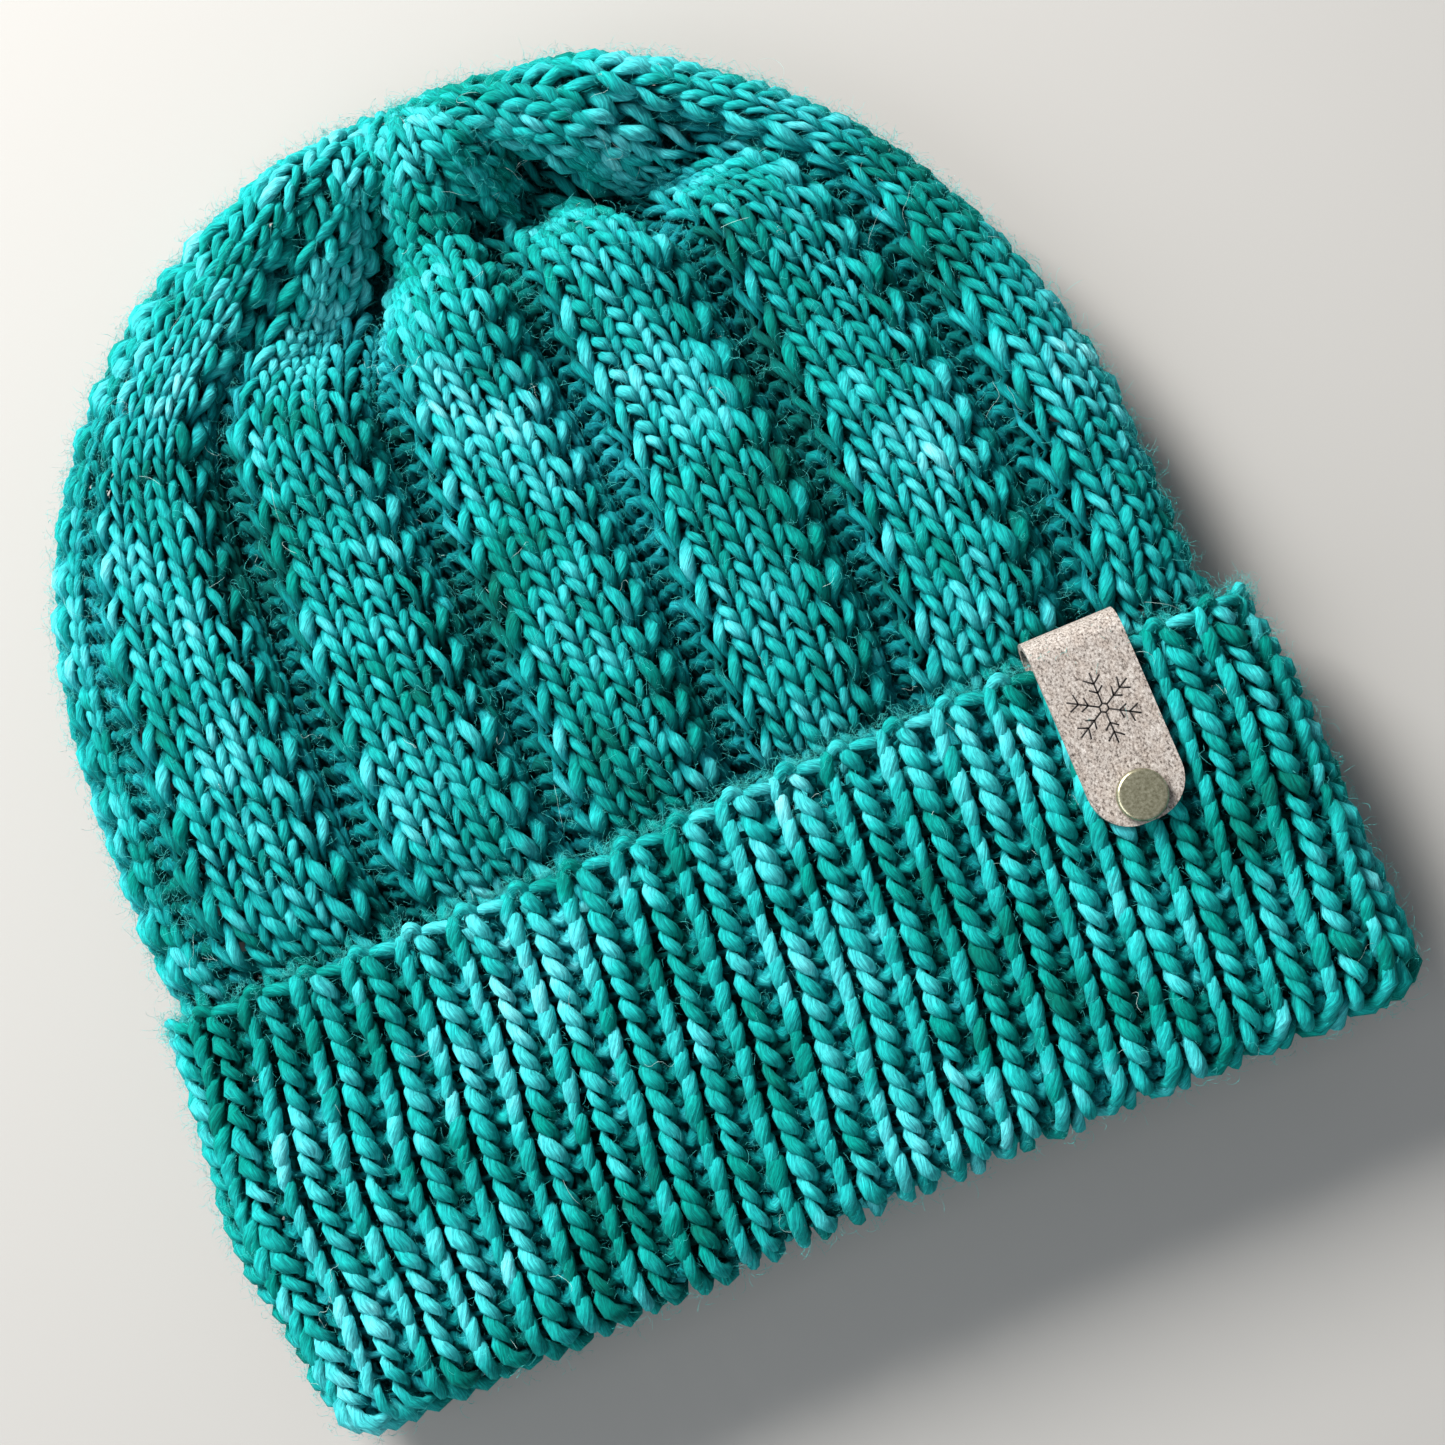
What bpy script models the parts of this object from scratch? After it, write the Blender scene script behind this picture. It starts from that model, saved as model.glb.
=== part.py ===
"""Knit beanie with a turned-up ribbed cuff and a fold-over cork tag, lying on its back.

Metres. +X runs along the brim, +Y towards the crown and +Z up, away from the table.
The origin is at the bottom centre of the hat's bounding box. The knit is drawn as plain
closed shells, one for each section of the fabric; the tag and its screw rivet are true
to shape.
"""
import math

import bmesh
import bpy
from mathutils import Matrix, Vector

MM = 0.001
GAP = 0.3 * MM

# Overall size of the hat as it lies flat.
HAT_LENGTH = 233 * MM
CUFF_WIDTH = 228 * MM
CUFF_HEIGHT = 82 * MM
BODY_WIDTH = 213 * MM
BODY_OFFSET_X = -3.0 * MM
BRIM_Y = -HAT_LENGTH / 2
CUFF_TOP_Y = BRIM_Y + CUFF_HEIGHT
CROWN_TOP_Y = HAT_LENGTH / 2

# Layers of the cuff, from the table up.
CUFF_WALL = 6.5 * MM
INNER_WALL = 5.0 * MM
LAYER_GAP = 0.4 * MM
HEAD_CAVITY = 8.3 * MM
TAG_SPACE = 4.0 * MM
INNER_LOW = CUFF_WALL + LAYER_GAP
CAVITY_LOW = INNER_LOW + INNER_WALL
CAVITY_HIGH = CAVITY_LOW + HEAD_CAVITY
INNER_HIGH = CAVITY_HIGH + INNER_WALL
CUFF_INSIDE_HIGH = INNER_HIGH + TAG_SPACE
CUFF_HIGH = CUFF_INSIDE_HIGH + CUFF_WALL
FOLD_DEPTH = 6.0 * MM
SIDE_EASE = 1.3 * MM
INNER_HALF_WIDTH = CUFF_WIDTH / 2 - CUFF_WALL - LAYER_GAP - SIDE_EASE
MOUTH_HALF_WIDTH = INNER_HALF_WIDTH - INNER_WALL

# Cast-on edge: a thick cord of linked loops round the top of the cuff.
CAST_ON_DIAMETER = 4.0 * MM

# Body and crown.
BODY_WALL = 5.5 * MM
BODY_START_Y = CUFF_TOP_Y - 12 * MM
BODY_CLEAR_Y = CUFF_TOP_Y + 6 * MM
BODY_FULL_Y = CUFF_TOP_Y + 22 * MM
SHOULDER_Y = CUFF_TOP_Y + 35 * MM
SHOULDER_POWER = 2.15
CROWN_START_Y = CUFF_TOP_Y + 96 * MM
BODY_LOW = 0.5 * MM
BODY_HIGH = 30.0 * MM
CROWN_HIGH = 25.0 * MM
CROWN_FLAT_TOP = 1.2 * MM
CROWN_APEX_Y = CROWN_TOP_Y + CROWN_FLAT_TOP
MIN_LINING = 0.6 * MM

# Cork tag.
TAG_X = 74.6 * MM
TAG_WIDTH = 18.6 * MM
TAG_THICKNESS = 1.2 * MM
TAG_LEG_BELOW_CUFF_TOP = 34.6 * MM
TAG_CORNER = 8.0 * MM
TAG_FRONT_LOW = CUFF_HIGH + GAP
TAG_FRONT_HIGH = TAG_FRONT_LOW + TAG_THICKNESS
TAG_BACK_HIGH = CUFF_INSIDE_HIGH - 2 * GAP
TAG_BACK_LOW = TAG_BACK_HIGH - TAG_THICKNESS

# Screw rivet: a cap with a hollow post in front, a slotted screw behind.
RIVET_Y = CUFF_TOP_Y - 29.5 * MM
CAP_DIAMETER = 9.8 * MM
CAP_HEIGHT = 1.8 * MM
CAP_BEVEL = 0.6 * MM
POST_DIAMETER = 4.0 * MM
POST_BORE = 2.9 * MM
TAG_HOLE = 4.6 * MM
SCREW_SHANK = 2.3 * MM
SCREW_HEAD_DIAMETER = 8.4 * MM
SCREW_HEAD_HEIGHT = 1.5 * MM
SCREW_SLOT_WIDTH = 1.2 * MM
SCREW_SLOT_DEPTH = 0.7 * MM
CAP_LOW = TAG_FRONT_HIGH + GAP
POST_END_Z = TAG_BACK_LOW
SCREW_HEAD_HIGH = POST_END_Z - GAP
SCREW_HEAD_LOW = SCREW_HEAD_HIGH - SCREW_HEAD_HEIGHT
BORE_TOP_Z = CUFF_HIGH - 1.0 * MM
SHANK_TOP_Z = BORE_TOP_Z - 3 * GAP

# Yarn ends and the closing of the crown, inside the hat.
YARN_DIAMETER = 2.6 * MM
DRAWSTRING_RADIUS = 3.2 * MM
DRAWSTRING_Y = CROWN_TOP_Y - 10.5 * MM

# Fineness of the rounded shapes.
ROUND_STEPS = 8
STRAIGHT_STEPS = 10
DISC_STEPS = 40


def clear_scene():
    """Remove every object, so that the script starts from nothing."""
    for thing in list(bpy.data.objects):
        bpy.data.objects.remove(thing, do_unlink=True)


def make_material(name, colour, roughness, metallic=0.0):
    """Principled material with one colour."""
    material = bpy.data.materials.new(name)
    material.use_nodes = True
    shader = material.node_tree.nodes["Principled BSDF"]
    shader.inputs["Base Color"].default_value = (*colour, 1.0)
    shader.inputs["Roughness"].default_value = roughness
    shader.inputs["Metallic"].default_value = metallic
    return material


def add_object(name, mesh_builder, material, smooth_angle=40):
    """Turn a bmesh into a named object with outward faces."""
    bmesh.ops.recalc_face_normals(mesh_builder, faces=mesh_builder.faces)
    mesh = bpy.data.meshes.new(name)
    mesh_builder.to_mesh(mesh)
    mesh_builder.free()
    mesh.shade_smooth()
    mesh.set_sharp_from_angle(angle=math.radians(smooth_angle))
    mesh.materials.append(material)
    piece = bpy.data.objects.new(name, mesh)
    bpy.context.collection.objects.link(piece)
    return piece


def flat_tube_ring(y, half_width, low, high, centre_x=0.0):
    """Cross-section of a flattened tube at one height: two straight faces, two round sides."""
    radius = (high - low) / 2
    middle = (high + low) / 2
    straight = half_width - radius
    points = []
    for side in (1, -1):
        for step in range(ROUND_STEPS + 1):
            angle = -math.pi / 2 + math.pi * step / ROUND_STEPS
            x = straight + radius * math.cos(angle)
            z = radius * math.sin(angle)
            points.append(Vector((centre_x + side * x, y, middle + side * z)))
        for step in range(1, STRAIGHT_STEPS):
            x = straight * (1 - 2 * step / STRAIGHT_STEPS)
            points.append(Vector((centre_x + side * x, y, middle + side * radius)))
    return points


def loft(rings, closed):
    """Join rings of equal length into one surface, closed on itself or capped at both ends."""
    builder = bmesh.new()
    loops = [[builder.verts.new(point) for point in ring] for ring in rings]
    count = len(loops[0])
    pairs = list(zip(loops, loops[1:]))
    if closed:
        pairs.append((loops[-1], loops[0]))
    for first, second in pairs:
        for index in range(count):
            after = (index + 1) % count
            builder.faces.new((first[index], first[after], second[after], second[index]))
    if not closed:
        builder.faces.new(loops[0])
        builder.faces.new(loops[-1])
    return builder


def cut(piece, cutter):
    """Subtract a hidden cutter from a piece, and keep the result as its mesh."""
    modifier = piece.modifiers.new("cut", "BOOLEAN")
    modifier.operation = "DIFFERENCE"
    modifier.object = cutter
    hide_cutter(cutter)


def hide_cutter(cutter):
    """Mark an object as a cutter, which isn't part of the hat."""
    cutter.hide_render = True
    cutter.display_type = "WIRE"


def upright_cylinder(name, diameter, low, high, material=None):
    """Cylinder along Z on the rivet's axis, with its origin on that axis."""
    builder = bmesh.new()
    bmesh.ops.create_cone(
        builder, cap_ends=True, segments=DISC_STEPS,
        radius1=diameter / 2, radius2=diameter / 2, depth=high - low,
        matrix=Matrix.Translation((0, 0, (high - low) / 2)),
    )
    piece = add_object(name, builder, material or bpy.data.materials["brass"])
    piece.location = (TAG_X, RIVET_Y, low)
    return piece


def turned_profile(profile):
    """Turn a closed (radius, height) outline round Z; the outline starts and ends on the axis."""
    builder = bmesh.new()
    rows = []
    for radius, height in profile:
        if radius < 1e-7:
            rows.append([builder.verts.new((0, 0, height))])
            continue
        row = []
        for step in range(DISC_STEPS):
            angle = 2 * math.pi * step / DISC_STEPS
            row.append(builder.verts.new((radius * math.cos(angle), radius * math.sin(angle), height)))
        rows.append(row)
    for first, second in zip(rows, rows[1:]):
        for step in range(DISC_STEPS):
            after = (step + 1) % DISC_STEPS
            corners = [
                first[step % len(first)], first[after % len(first)],
                second[after % len(second)], second[step % len(second)],
            ]
            unique = list(dict.fromkeys(corners))
            builder.faces.new(unique)
    return builder


def smooth_step(value, start, end):
    """0 before start, 1 after end, with a smooth ramp between."""
    t = min(max((value - start) / (end - start), 0.0), 1.0)
    return t * t * (3 - 2 * t)


def body_half_width(y):
    """Half width of the hat above the cuff: straight sides, then half a full-shouldered ellipse."""
    share = max(y - SHOULDER_Y, 0.0) / (CROWN_APEX_Y - SHOULDER_Y)
    return BODY_WIDTH / 2 * max(1 - share ** SHOULDER_POWER, 0.0) ** (1 / SHOULDER_POWER)


def body_section(y, inset):
    """Cross-section of the body or crown at one height, inset from its outer surface."""
    opened = smooth_step(y, BODY_CLEAR_Y, BODY_FULL_Y)
    dropped = smooth_step(y, CUFF_TOP_Y, BODY_FULL_Y)
    tapered = smooth_step(y, SHOULDER_Y, CROWN_START_Y)
    high = INNER_HIGH + (BODY_HIGH - INNER_HIGH) * opened + (CROWN_HIGH - BODY_HIGH) * tapered
    low = INNER_LOW + (BODY_LOW - INNER_LOW) * dropped
    half_width = INNER_HALF_WIDTH + (body_half_width(y) - INNER_HALF_WIDTH) * dropped
    radius = (high - low) / 2
    from_top = CROWN_APEX_Y - y
    if from_top < radius:
        radius_here = math.sqrt(radius ** 2 - (radius - from_top) ** 2)
        middle = (high + low) / 2
        low = middle - radius_here
        high = middle + radius_here
    half_width = max(half_width, (high - low) / 2)
    return flat_tube_ring(
        y, half_width - inset, low + inset, high - inset, BODY_OFFSET_X * dropped
    )


def build_turned_cuff(wool):
    """Outer layer of the cuff with the fold along its lower edge, and a hole for the post."""
    outer = (CUFF_WIDTH / 2, 0.0, CUFF_HIGH)
    inside = (CUFF_WIDTH / 2 - CUFF_WALL, CUFF_WALL, CUFF_INSIDE_HIGH)
    mouth = (MOUTH_HALF_WIDTH, CAVITY_LOW, CAVITY_HIGH)
    wall_top = CUFF_TOP_Y - CAST_ON_DIAMETER - GAP
    rim = 1.5 * MM
    stations = [
        (wall_top - rim, outer, 0.0),
        (BRIM_Y + FOLD_DEPTH * 0.6, outer, 0.0),
        (BRIM_Y + FOLD_DEPTH * 0.2, outer, 1.2 * MM),
        (BRIM_Y, outer, 3.5 * MM),
        (BRIM_Y, mouth, -3.5 * MM),
        (BRIM_Y + FOLD_DEPTH * 0.2, mouth, -1.2 * MM),
        (BRIM_Y + FOLD_DEPTH * 0.6, mouth, 0.0),
        (BRIM_Y + FOLD_DEPTH, mouth, 0.0),
        (BRIM_Y + FOLD_DEPTH, inside, 0.0),
        (wall_top - rim, inside, 0.0),
        (wall_top, inside, -rim),
        (wall_top, outer, rim),
    ]
    rings = []
    for y, (half_width, low, high), inset in stations:
        rings.append(flat_tube_ring(y, half_width - inset, low + inset, high - inset))
    cuff = add_object("turned_cuff", loft(rings, closed=True), wool)
    cutter = upright_cylinder("post_hole_cutter", TAG_HOLE, TAG_BACK_HIGH, TAG_FRONT_HIGH)
    cut(cuff, cutter)
    return cuff


def build_inner_brim(wool):
    """Ribbing that lies against the head, from the fold to the start of the body."""
    outer = (INNER_HALF_WIDTH, INNER_LOW, INNER_HIGH)
    inner = (MOUTH_HALF_WIDTH, CAVITY_LOW, CAVITY_HIGH)
    low_y = BRIM_Y + FOLD_DEPTH + GAP
    high_y = BODY_START_Y - GAP
    rings = []
    for y, (half_width, low, high) in (
        (low_y, outer), (high_y, outer), (high_y, inner), (low_y, inner)
    ):
        rings.append(flat_tube_ring(y, half_width, low, high))
    return add_object("inner_brim", loft(rings, closed=True), wool)


def build_cast_on_edge(wool):
    """Cord of linked cast-on loops round the top of the cuff."""
    radius = CAST_ON_DIAMETER / 2
    middle_inset = CUFF_WALL / 2
    rings = []
    for step in range(ROUND_STEPS):
        angle = 2 * math.pi * step / ROUND_STEPS
        y = CUFF_TOP_Y - radius + radius * math.sin(angle)
        inset = middle_inset + radius * math.cos(angle)
        rings.append(flat_tube_ring(y, CUFF_WIDTH / 2 - inset, inset, CUFF_HIGH - inset))
    return add_object("cast_on_edge", loft(rings, closed=True), wool)


def build_body(wool):
    """Patterned tube from inside the cuff to the start of the crown."""
    heights = [BODY_START_Y, CUFF_TOP_Y - CAST_ON_DIAMETER, CUFF_TOP_Y, BODY_CLEAR_Y]
    heights += [CUFF_TOP_Y + step * MM for step in (10, 14, 18, 22, 34, 46, 58, 68, 78, 88)]
    heights.append(CROWN_START_Y - GAP)
    rings = [body_section(y, 0.0) for y in heights]
    rings += [body_section(y, BODY_WALL) for y in reversed(heights)]
    return add_object("hat_body", loft(rings, closed=True), wool)


def build_crown(wool):
    """Decreased top of the hat: a closed dome, open towards the body."""
    steps = 9
    outer_rise = CROWN_TOP_Y - CROWN_START_Y
    inner_rise = outer_rise - BODY_WALL
    shares = [math.sin(math.pi / 2 * step / steps) for step in range(steps + 1)]
    rings = [body_section(CROWN_START_Y + outer_rise * share, 0.0) for share in reversed(shares)]
    rings += [crown_lining_section(CROWN_START_Y + inner_rise * share) for share in shares]
    return add_object("crown", loft(rings, closed=False), wool)


def crown_lining_section(y):
    """Inner surface of the crown: sized by the outer section nearer the top, inset by a wall."""
    raised = y + BODY_WALL * smooth_step(y, CROWN_START_Y, CROWN_TOP_Y - BODY_WALL)
    outside = body_section(raised, 0.0)
    low = min(point.z for point in outside)
    high = max(point.z for point in outside)
    middle = (low + high) / 2
    half_width = max(point.x for point in outside) - BODY_OFFSET_X
    inset_height = max((high - low) / 2 - BODY_WALL, MIN_LINING)
    inset_width = max(half_width - BODY_WALL, inset_height)
    return flat_tube_ring(y, inset_width, middle - inset_height, middle + inset_height, BODY_OFFSET_X)


def build_drawstring(wool):
    """Yarn drawn through the last stitches, which closes the crown from inside."""
    middle = (BODY_LOW + CROWN_HIGH) / 2
    builder = bmesh.new()
    loops = []
    ring_steps = 20
    for step in range(ring_steps):
        angle = 2 * math.pi * step / ring_steps
        out = Vector((math.cos(angle), 0, math.sin(angle)))
        loop = []
        for side in range(ROUND_STEPS):
            turn = 2 * math.pi * side / ROUND_STEPS
            distance = DRAWSTRING_RADIUS + YARN_DIAMETER / 2 * math.cos(turn)
            rise = Vector((0, YARN_DIAMETER / 2 * math.sin(turn), 0))
            loop.append(builder.verts.new(out * distance + rise))
        loops.append(loop)
    for first, second in zip(loops, loops[1:] + loops[:1]):
        for side in range(ROUND_STEPS):
            after = (side + 1) % ROUND_STEPS
            builder.faces.new((first[side], first[after], second[after], second[side]))
    piece = add_object("crown_drawstring", builder, wool, smooth_angle=80)
    piece.location = (BODY_OFFSET_X, DRAWSTRING_Y, middle)
    return piece


def build_yarn_end(name, points, wool):
    """Short end of yarn along a smooth curve through the given points."""
    curve = bpy.data.curves.new(name, "CURVE")
    curve.dimensions = "3D"
    curve.bevel_depth = YARN_DIAMETER / 2
    curve.bevel_resolution = 2
    curve.use_fill_caps = True
    path = smooth_path(points, per_span=5)
    spline = curve.splines.new("POLY")
    spline.points.add(len(path) - 1)
    for place, point in zip(spline.points, path):
        place.co = (*point, 1.0)
    curve.materials.append(wool)
    piece = bpy.data.objects.new(name, curve)
    bpy.context.collection.objects.link(piece)
    return piece


def smooth_path(points, per_span):
    """Points of a Catmull-Rom curve through the given ones."""
    ends = [points[0] * 2 - points[1]] + points + [points[-1] * 2 - points[-2]]
    path = []
    for before, start, end, after in zip(ends, ends[1:], ends[2:], ends[3:]):
        for step in range(per_span):
            t = step / per_span
            path.append(
                0.5 * (2 * start + (end - before) * t
                       + (2 * before - 5 * start + 4 * end - after) * t ** 2
                       + (3 * start - before - 3 * end + after) * t ** 3)
            )
    path.append(points[-1])
    return path


def build_closing_tail(wool):
    """Yarn end woven in along the inside of the hat's back, down from the drawstring."""
    lying = BODY_LOW + BODY_WALL + YARN_DIAMETER / 2 + 2 * GAP
    places = [(0.0, 6.5, 3.0), (2.0, 13.0, 1.4), (5.0, 22.0, 0.4), (3.5, 32.0, 0.0),
              (7.0, 43.0, 0.0), (5.0, 54.0, 0.0)]
    points = []
    for x, below, raised in places:
        points.append(Vector((BODY_OFFSET_X + x * MM, DRAWSTRING_Y - below * MM, lying + raised * MM)))
    return build_yarn_end("closing_tail", points, wool)


def build_cast_on_tail(wool):
    """Yarn end woven in between the turned-up cuff and the brim."""
    middle = (INNER_HIGH + CUFF_INSIDE_HIGH) / 2
    places = [(-78.0, 8.0), (-76.0, 18.0), (-71.0, 28.0), (-72.5, 40.0), (-68.0, 52.0)]
    points = [Vector((x * MM, CUFF_TOP_Y - below * MM, middle)) for x, below in places]
    return build_yarn_end("cast_on_tail", points, wool)


def tag_side_profile():
    """Outline of the folded strip seen from the side, as (y, z) points."""
    outer_radius = (TAG_FRONT_HIGH - TAG_BACK_LOW) / 2
    middle = (TAG_FRONT_HIGH + TAG_BACK_LOW) / 2
    fold_y = CUFF_TOP_Y + GAP
    end_y = CUFF_TOP_Y - TAG_LEG_BELOW_CUFF_TOP
    fold_steps = 14
    outline = [(end_y, TAG_FRONT_HIGH)]
    for radius, direction in ((outer_radius, 1), (outer_radius - TAG_THICKNESS, -1)):
        for step in range(fold_steps + 1):
            angle = direction * (math.pi / 2 - math.pi * step / fold_steps)
            outline.append((fold_y + radius * math.cos(angle), middle + radius * math.sin(angle)))
        if direction == 1:
            outline.append((end_y, TAG_BACK_LOW))
            outline.append((end_y, TAG_BACK_HIGH))
    outline.append((end_y, TAG_FRONT_LOW))
    return outline


def tag_plan_outline():
    """Rounded plan shape that the tag's two legs are trimmed to."""
    half = TAG_WIDTH / 2
    end_y = CUFF_TOP_Y - TAG_LEG_BELOW_CUFF_TOP
    far_y = CUFF_TOP_Y + 12 * MM
    outline = [(half, far_y), (-half, far_y)]
    corner_steps = 10
    for side in (-1, 1):
        for step in range(corner_steps + 1):
            turn = math.pi / 2 * step / corner_steps
            angle = turn if side == -1 else math.pi / 2 - turn
            x = side * (half - TAG_CORNER + TAG_CORNER * math.cos(angle))
            outline.append((x, end_y + TAG_CORNER * (1 - math.sin(angle))))
    return outline


def prism(points, direction):
    """Closed prism: a flat outline pushed along a direction."""
    builder = bmesh.new()
    base = [builder.verts.new(point) for point in points]
    face = builder.faces.new(base)
    pushed = bmesh.ops.extrude_face_region(builder, geom=[face])
    moved = [item for item in pushed["geom"] if isinstance(item, bmesh.types.BMVert)]
    bmesh.ops.translate(builder, verts=moved, vec=direction)
    return builder


def build_cork_tag(cork):
    """Cork strip folded over the top of the cuff, with rounded ends and a hole in each leg."""
    side = [Vector((TAG_X - TAG_WIDTH, y, z)) for y, z in tag_side_profile()]
    tag = add_object("cork_tag", prism(side, Vector((2 * TAG_WIDTH, 0, 0))), cork)
    plan = [Vector((TAG_X + x, y, TAG_BACK_LOW - 2 * MM)) for x, y in tag_plan_outline()]
    height = TAG_FRONT_HIGH - TAG_BACK_LOW + 4 * MM
    trimmer = add_object("tag_outline_cutter", prism(plan, Vector((0, 0, height))), cork)
    hide_cutter(trimmer)
    trim = tag.modifiers.new("rounded_ends", "BOOLEAN")
    trim.operation = "INTERSECT"
    trim.object = trimmer
    cut(tag, upright_cylinder("tag_hole_cutter", TAG_HOLE, TAG_BACK_LOW - MM, TAG_FRONT_HIGH + MM))
    return tag


def build_screw_cap(brass):
    """Flat head with a bevelled rim and a hollow post that passes through tag and cuff."""
    head_top = CAP_LOW + CAP_HEIGHT
    half_cap = CAP_DIAMETER / 2
    profile = [
        (0.0, BORE_TOP_Z), (POST_BORE / 2, BORE_TOP_Z), (POST_BORE / 2, POST_END_Z),
        (POST_DIAMETER / 2, POST_END_Z), (POST_DIAMETER / 2, CAP_LOW),
        (half_cap - CAP_BEVEL / 2, CAP_LOW), (half_cap, CAP_LOW + CAP_BEVEL / 2),
        (half_cap, head_top - CAP_BEVEL), (half_cap - CAP_BEVEL, head_top), (0.0, head_top),
    ]
    cap = add_object("screw_cap", turned_profile(profile), brass)
    cap.location = (TAG_X, RIVET_Y, 0)
    return cap


def build_slotted_screw(brass):
    """Screw that closes the post from behind; it turns about the rivet's axis."""
    half_head = SCREW_HEAD_DIAMETER / 2
    edge = 0.4 * MM
    profile = [
        (0.0, SCREW_HEAD_LOW), (half_head - edge, SCREW_HEAD_LOW),
        (half_head, SCREW_HEAD_LOW + edge), (half_head, SCREW_HEAD_HIGH),
        (SCREW_SHANK / 2, SCREW_HEAD_HIGH), (SCREW_SHANK / 2, SHANK_TOP_Z), (0.0, SHANK_TOP_Z),
    ]
    screw = add_object("slotted_screw", turned_profile(profile), brass)
    screw.location = (TAG_X, RIVET_Y, 0)
    slot = bmesh.new()
    bmesh.ops.create_cube(slot, size=1.0)
    bmesh.ops.scale(slot, verts=slot.verts,
                    vec=(SCREW_HEAD_DIAMETER * 1.2, SCREW_SLOT_WIDTH, 2 * SCREW_SLOT_DEPTH))
    cutter = add_object("slot_cutter", slot, brass)
    cutter.location = (TAG_X, RIVET_Y, SCREW_HEAD_LOW)
    cut(screw, cutter)
    return screw


def build_hat():
    """All pieces, with their materials."""
    wool = make_material("teal_wool", (0.012, 0.27, 0.26), 0.9)
    cork = make_material("cork", (0.49, 0.36, 0.26), 0.75)
    brass = make_material("brass", (0.30, 0.25, 0.14), 0.38, metallic=1.0)
    build_turned_cuff(wool)
    build_inner_brim(wool)
    build_cast_on_edge(wool)
    build_body(wool)
    build_crown(wool)
    build_drawstring(wool)
    build_closing_tail(wool)
    build_cast_on_tail(wool)
    build_cork_tag(cork)
    build_screw_cap(brass)
    build_slotted_screw(brass)


clear_scene()
build_hat()
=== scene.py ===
"""Looks of the knit beanie: every stitch is a loop of plied yarn laid on the hat's surface.

Metres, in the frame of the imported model: +X along the brim, +Y to the crown, +Z up.
The knit is worked out stitch by stitch. A table holds the smooth surface of the fabric,
each row of knitting is one closed curve of loops on that surface, and each curve is
swept into a round yarn.
"""
import math

import bmesh
import bpy
import numpy as np
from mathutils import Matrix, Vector


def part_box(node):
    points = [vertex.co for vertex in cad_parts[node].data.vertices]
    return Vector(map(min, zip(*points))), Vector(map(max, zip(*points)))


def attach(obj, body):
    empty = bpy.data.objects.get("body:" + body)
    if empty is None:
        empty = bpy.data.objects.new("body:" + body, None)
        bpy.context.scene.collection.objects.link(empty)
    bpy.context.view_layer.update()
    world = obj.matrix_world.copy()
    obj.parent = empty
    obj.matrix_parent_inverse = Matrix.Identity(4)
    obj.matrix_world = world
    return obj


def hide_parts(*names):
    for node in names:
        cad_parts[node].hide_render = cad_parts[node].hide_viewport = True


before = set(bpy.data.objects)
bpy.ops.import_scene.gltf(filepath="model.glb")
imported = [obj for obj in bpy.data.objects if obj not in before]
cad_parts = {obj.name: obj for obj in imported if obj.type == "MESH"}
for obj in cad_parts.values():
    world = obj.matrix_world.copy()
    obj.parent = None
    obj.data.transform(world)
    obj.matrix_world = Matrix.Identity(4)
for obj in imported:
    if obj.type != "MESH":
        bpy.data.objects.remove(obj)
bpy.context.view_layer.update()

MM = 0.001
TAU = 2 * math.pi

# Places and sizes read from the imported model.
cuff_low, cuff_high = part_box("turned_cuff")
_, edge_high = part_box("cast_on_edge")
body_low, body_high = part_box("hat_body")
crown_low, crown_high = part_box("crown")
brim_low, brim_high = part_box("inner_brim")
tag_low, tag_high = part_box("cork_tag")
cap_low, cap_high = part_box("screw_cap")
string_low, string_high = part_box("crown_drawstring")

BRIM_Y = cuff_low[1]
CUFF_TOP_Y = edge_high[1]
CROWN_TOP_Y = crown_high[1]
CUFF_HALF = cuff_high[0]
BRIM_HALF = (brim_high[0] - brim_low[0]) / 2
BODY_X = (body_low[0] + body_high[0]) / 2
BODY_HALF = (body_high[0] - body_low[0]) / 2
RIVET_X = (cap_low[0] + cap_high[0]) / 2
RIVET_Y = (cap_low[1] + cap_high[1]) / 2

# Yarn radii, the fibre bundles in a strand, and their spacing along it.
RIB_YARN = 1.24 * MM
BODY_YARN = 1.05 * MM
END_YARN = 1.2 * MM
PLIES = 11
PLY_STEP = 1.35 * MM

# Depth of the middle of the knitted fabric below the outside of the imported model.
RIB_SKIN = 3.4 * MM
INNER_SKIN = 2.5 * MM

# Yarn, and the middle line of a loose hair, stay at least this high above the floor.
FLOOR_LIFT = 0.15 * MM

# Light in the hollows, painted into the wool's colour as shade and used to thin the yarn: the darkest
# share, and the depth at which it is reached.
CHANNEL_LIGHT = 0.5
CHANNEL_DEPTH = 4.2 * MM
FOLD_LIGHT = 0.45
FOLD_DEPTH = 9 * MM

# Stitches: columns and rows of the ribbing, then the repeats, columns and rows of the body.
RIB_STITCHES = 88
RIB_ROWS = 35
REPEATS = 12
PANEL = ("slip", "knit", "knit", "knit", "slip", "flank", "purl", "purl")
PANEL_U = 0.2302
BODY_ROWS = 49

# Decreases: from the given row on, these columns of the repeat are worked as one.
STAGES = (
    (0, ((0,), (1,), (2,), (3,), (4,), (5,), (6,), (7,))),
    (36, ((0,), (1,), (2,), (3,), (4,), (5, 6, 7))),
    (39, ((0,), (1, 2), (3,), (4,), (5, 6, 7))),
    (41, ((0,), (1, 2), (3, 4), (5, 6, 7))),
    (43, ((0, 1, 2), (3, 4), (5, 6, 7))),
    (45, ((0, 1, 2), (3, 4, 5, 6, 7))),
    (47, ((0, 1, 2, 3, 4, 5, 6, 7),)),
    (BODY_ROWS, ((0, 1, 2, 3, 4, 5, 6, 7),)),
)
SLIP_ROWS_END = 40

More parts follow.
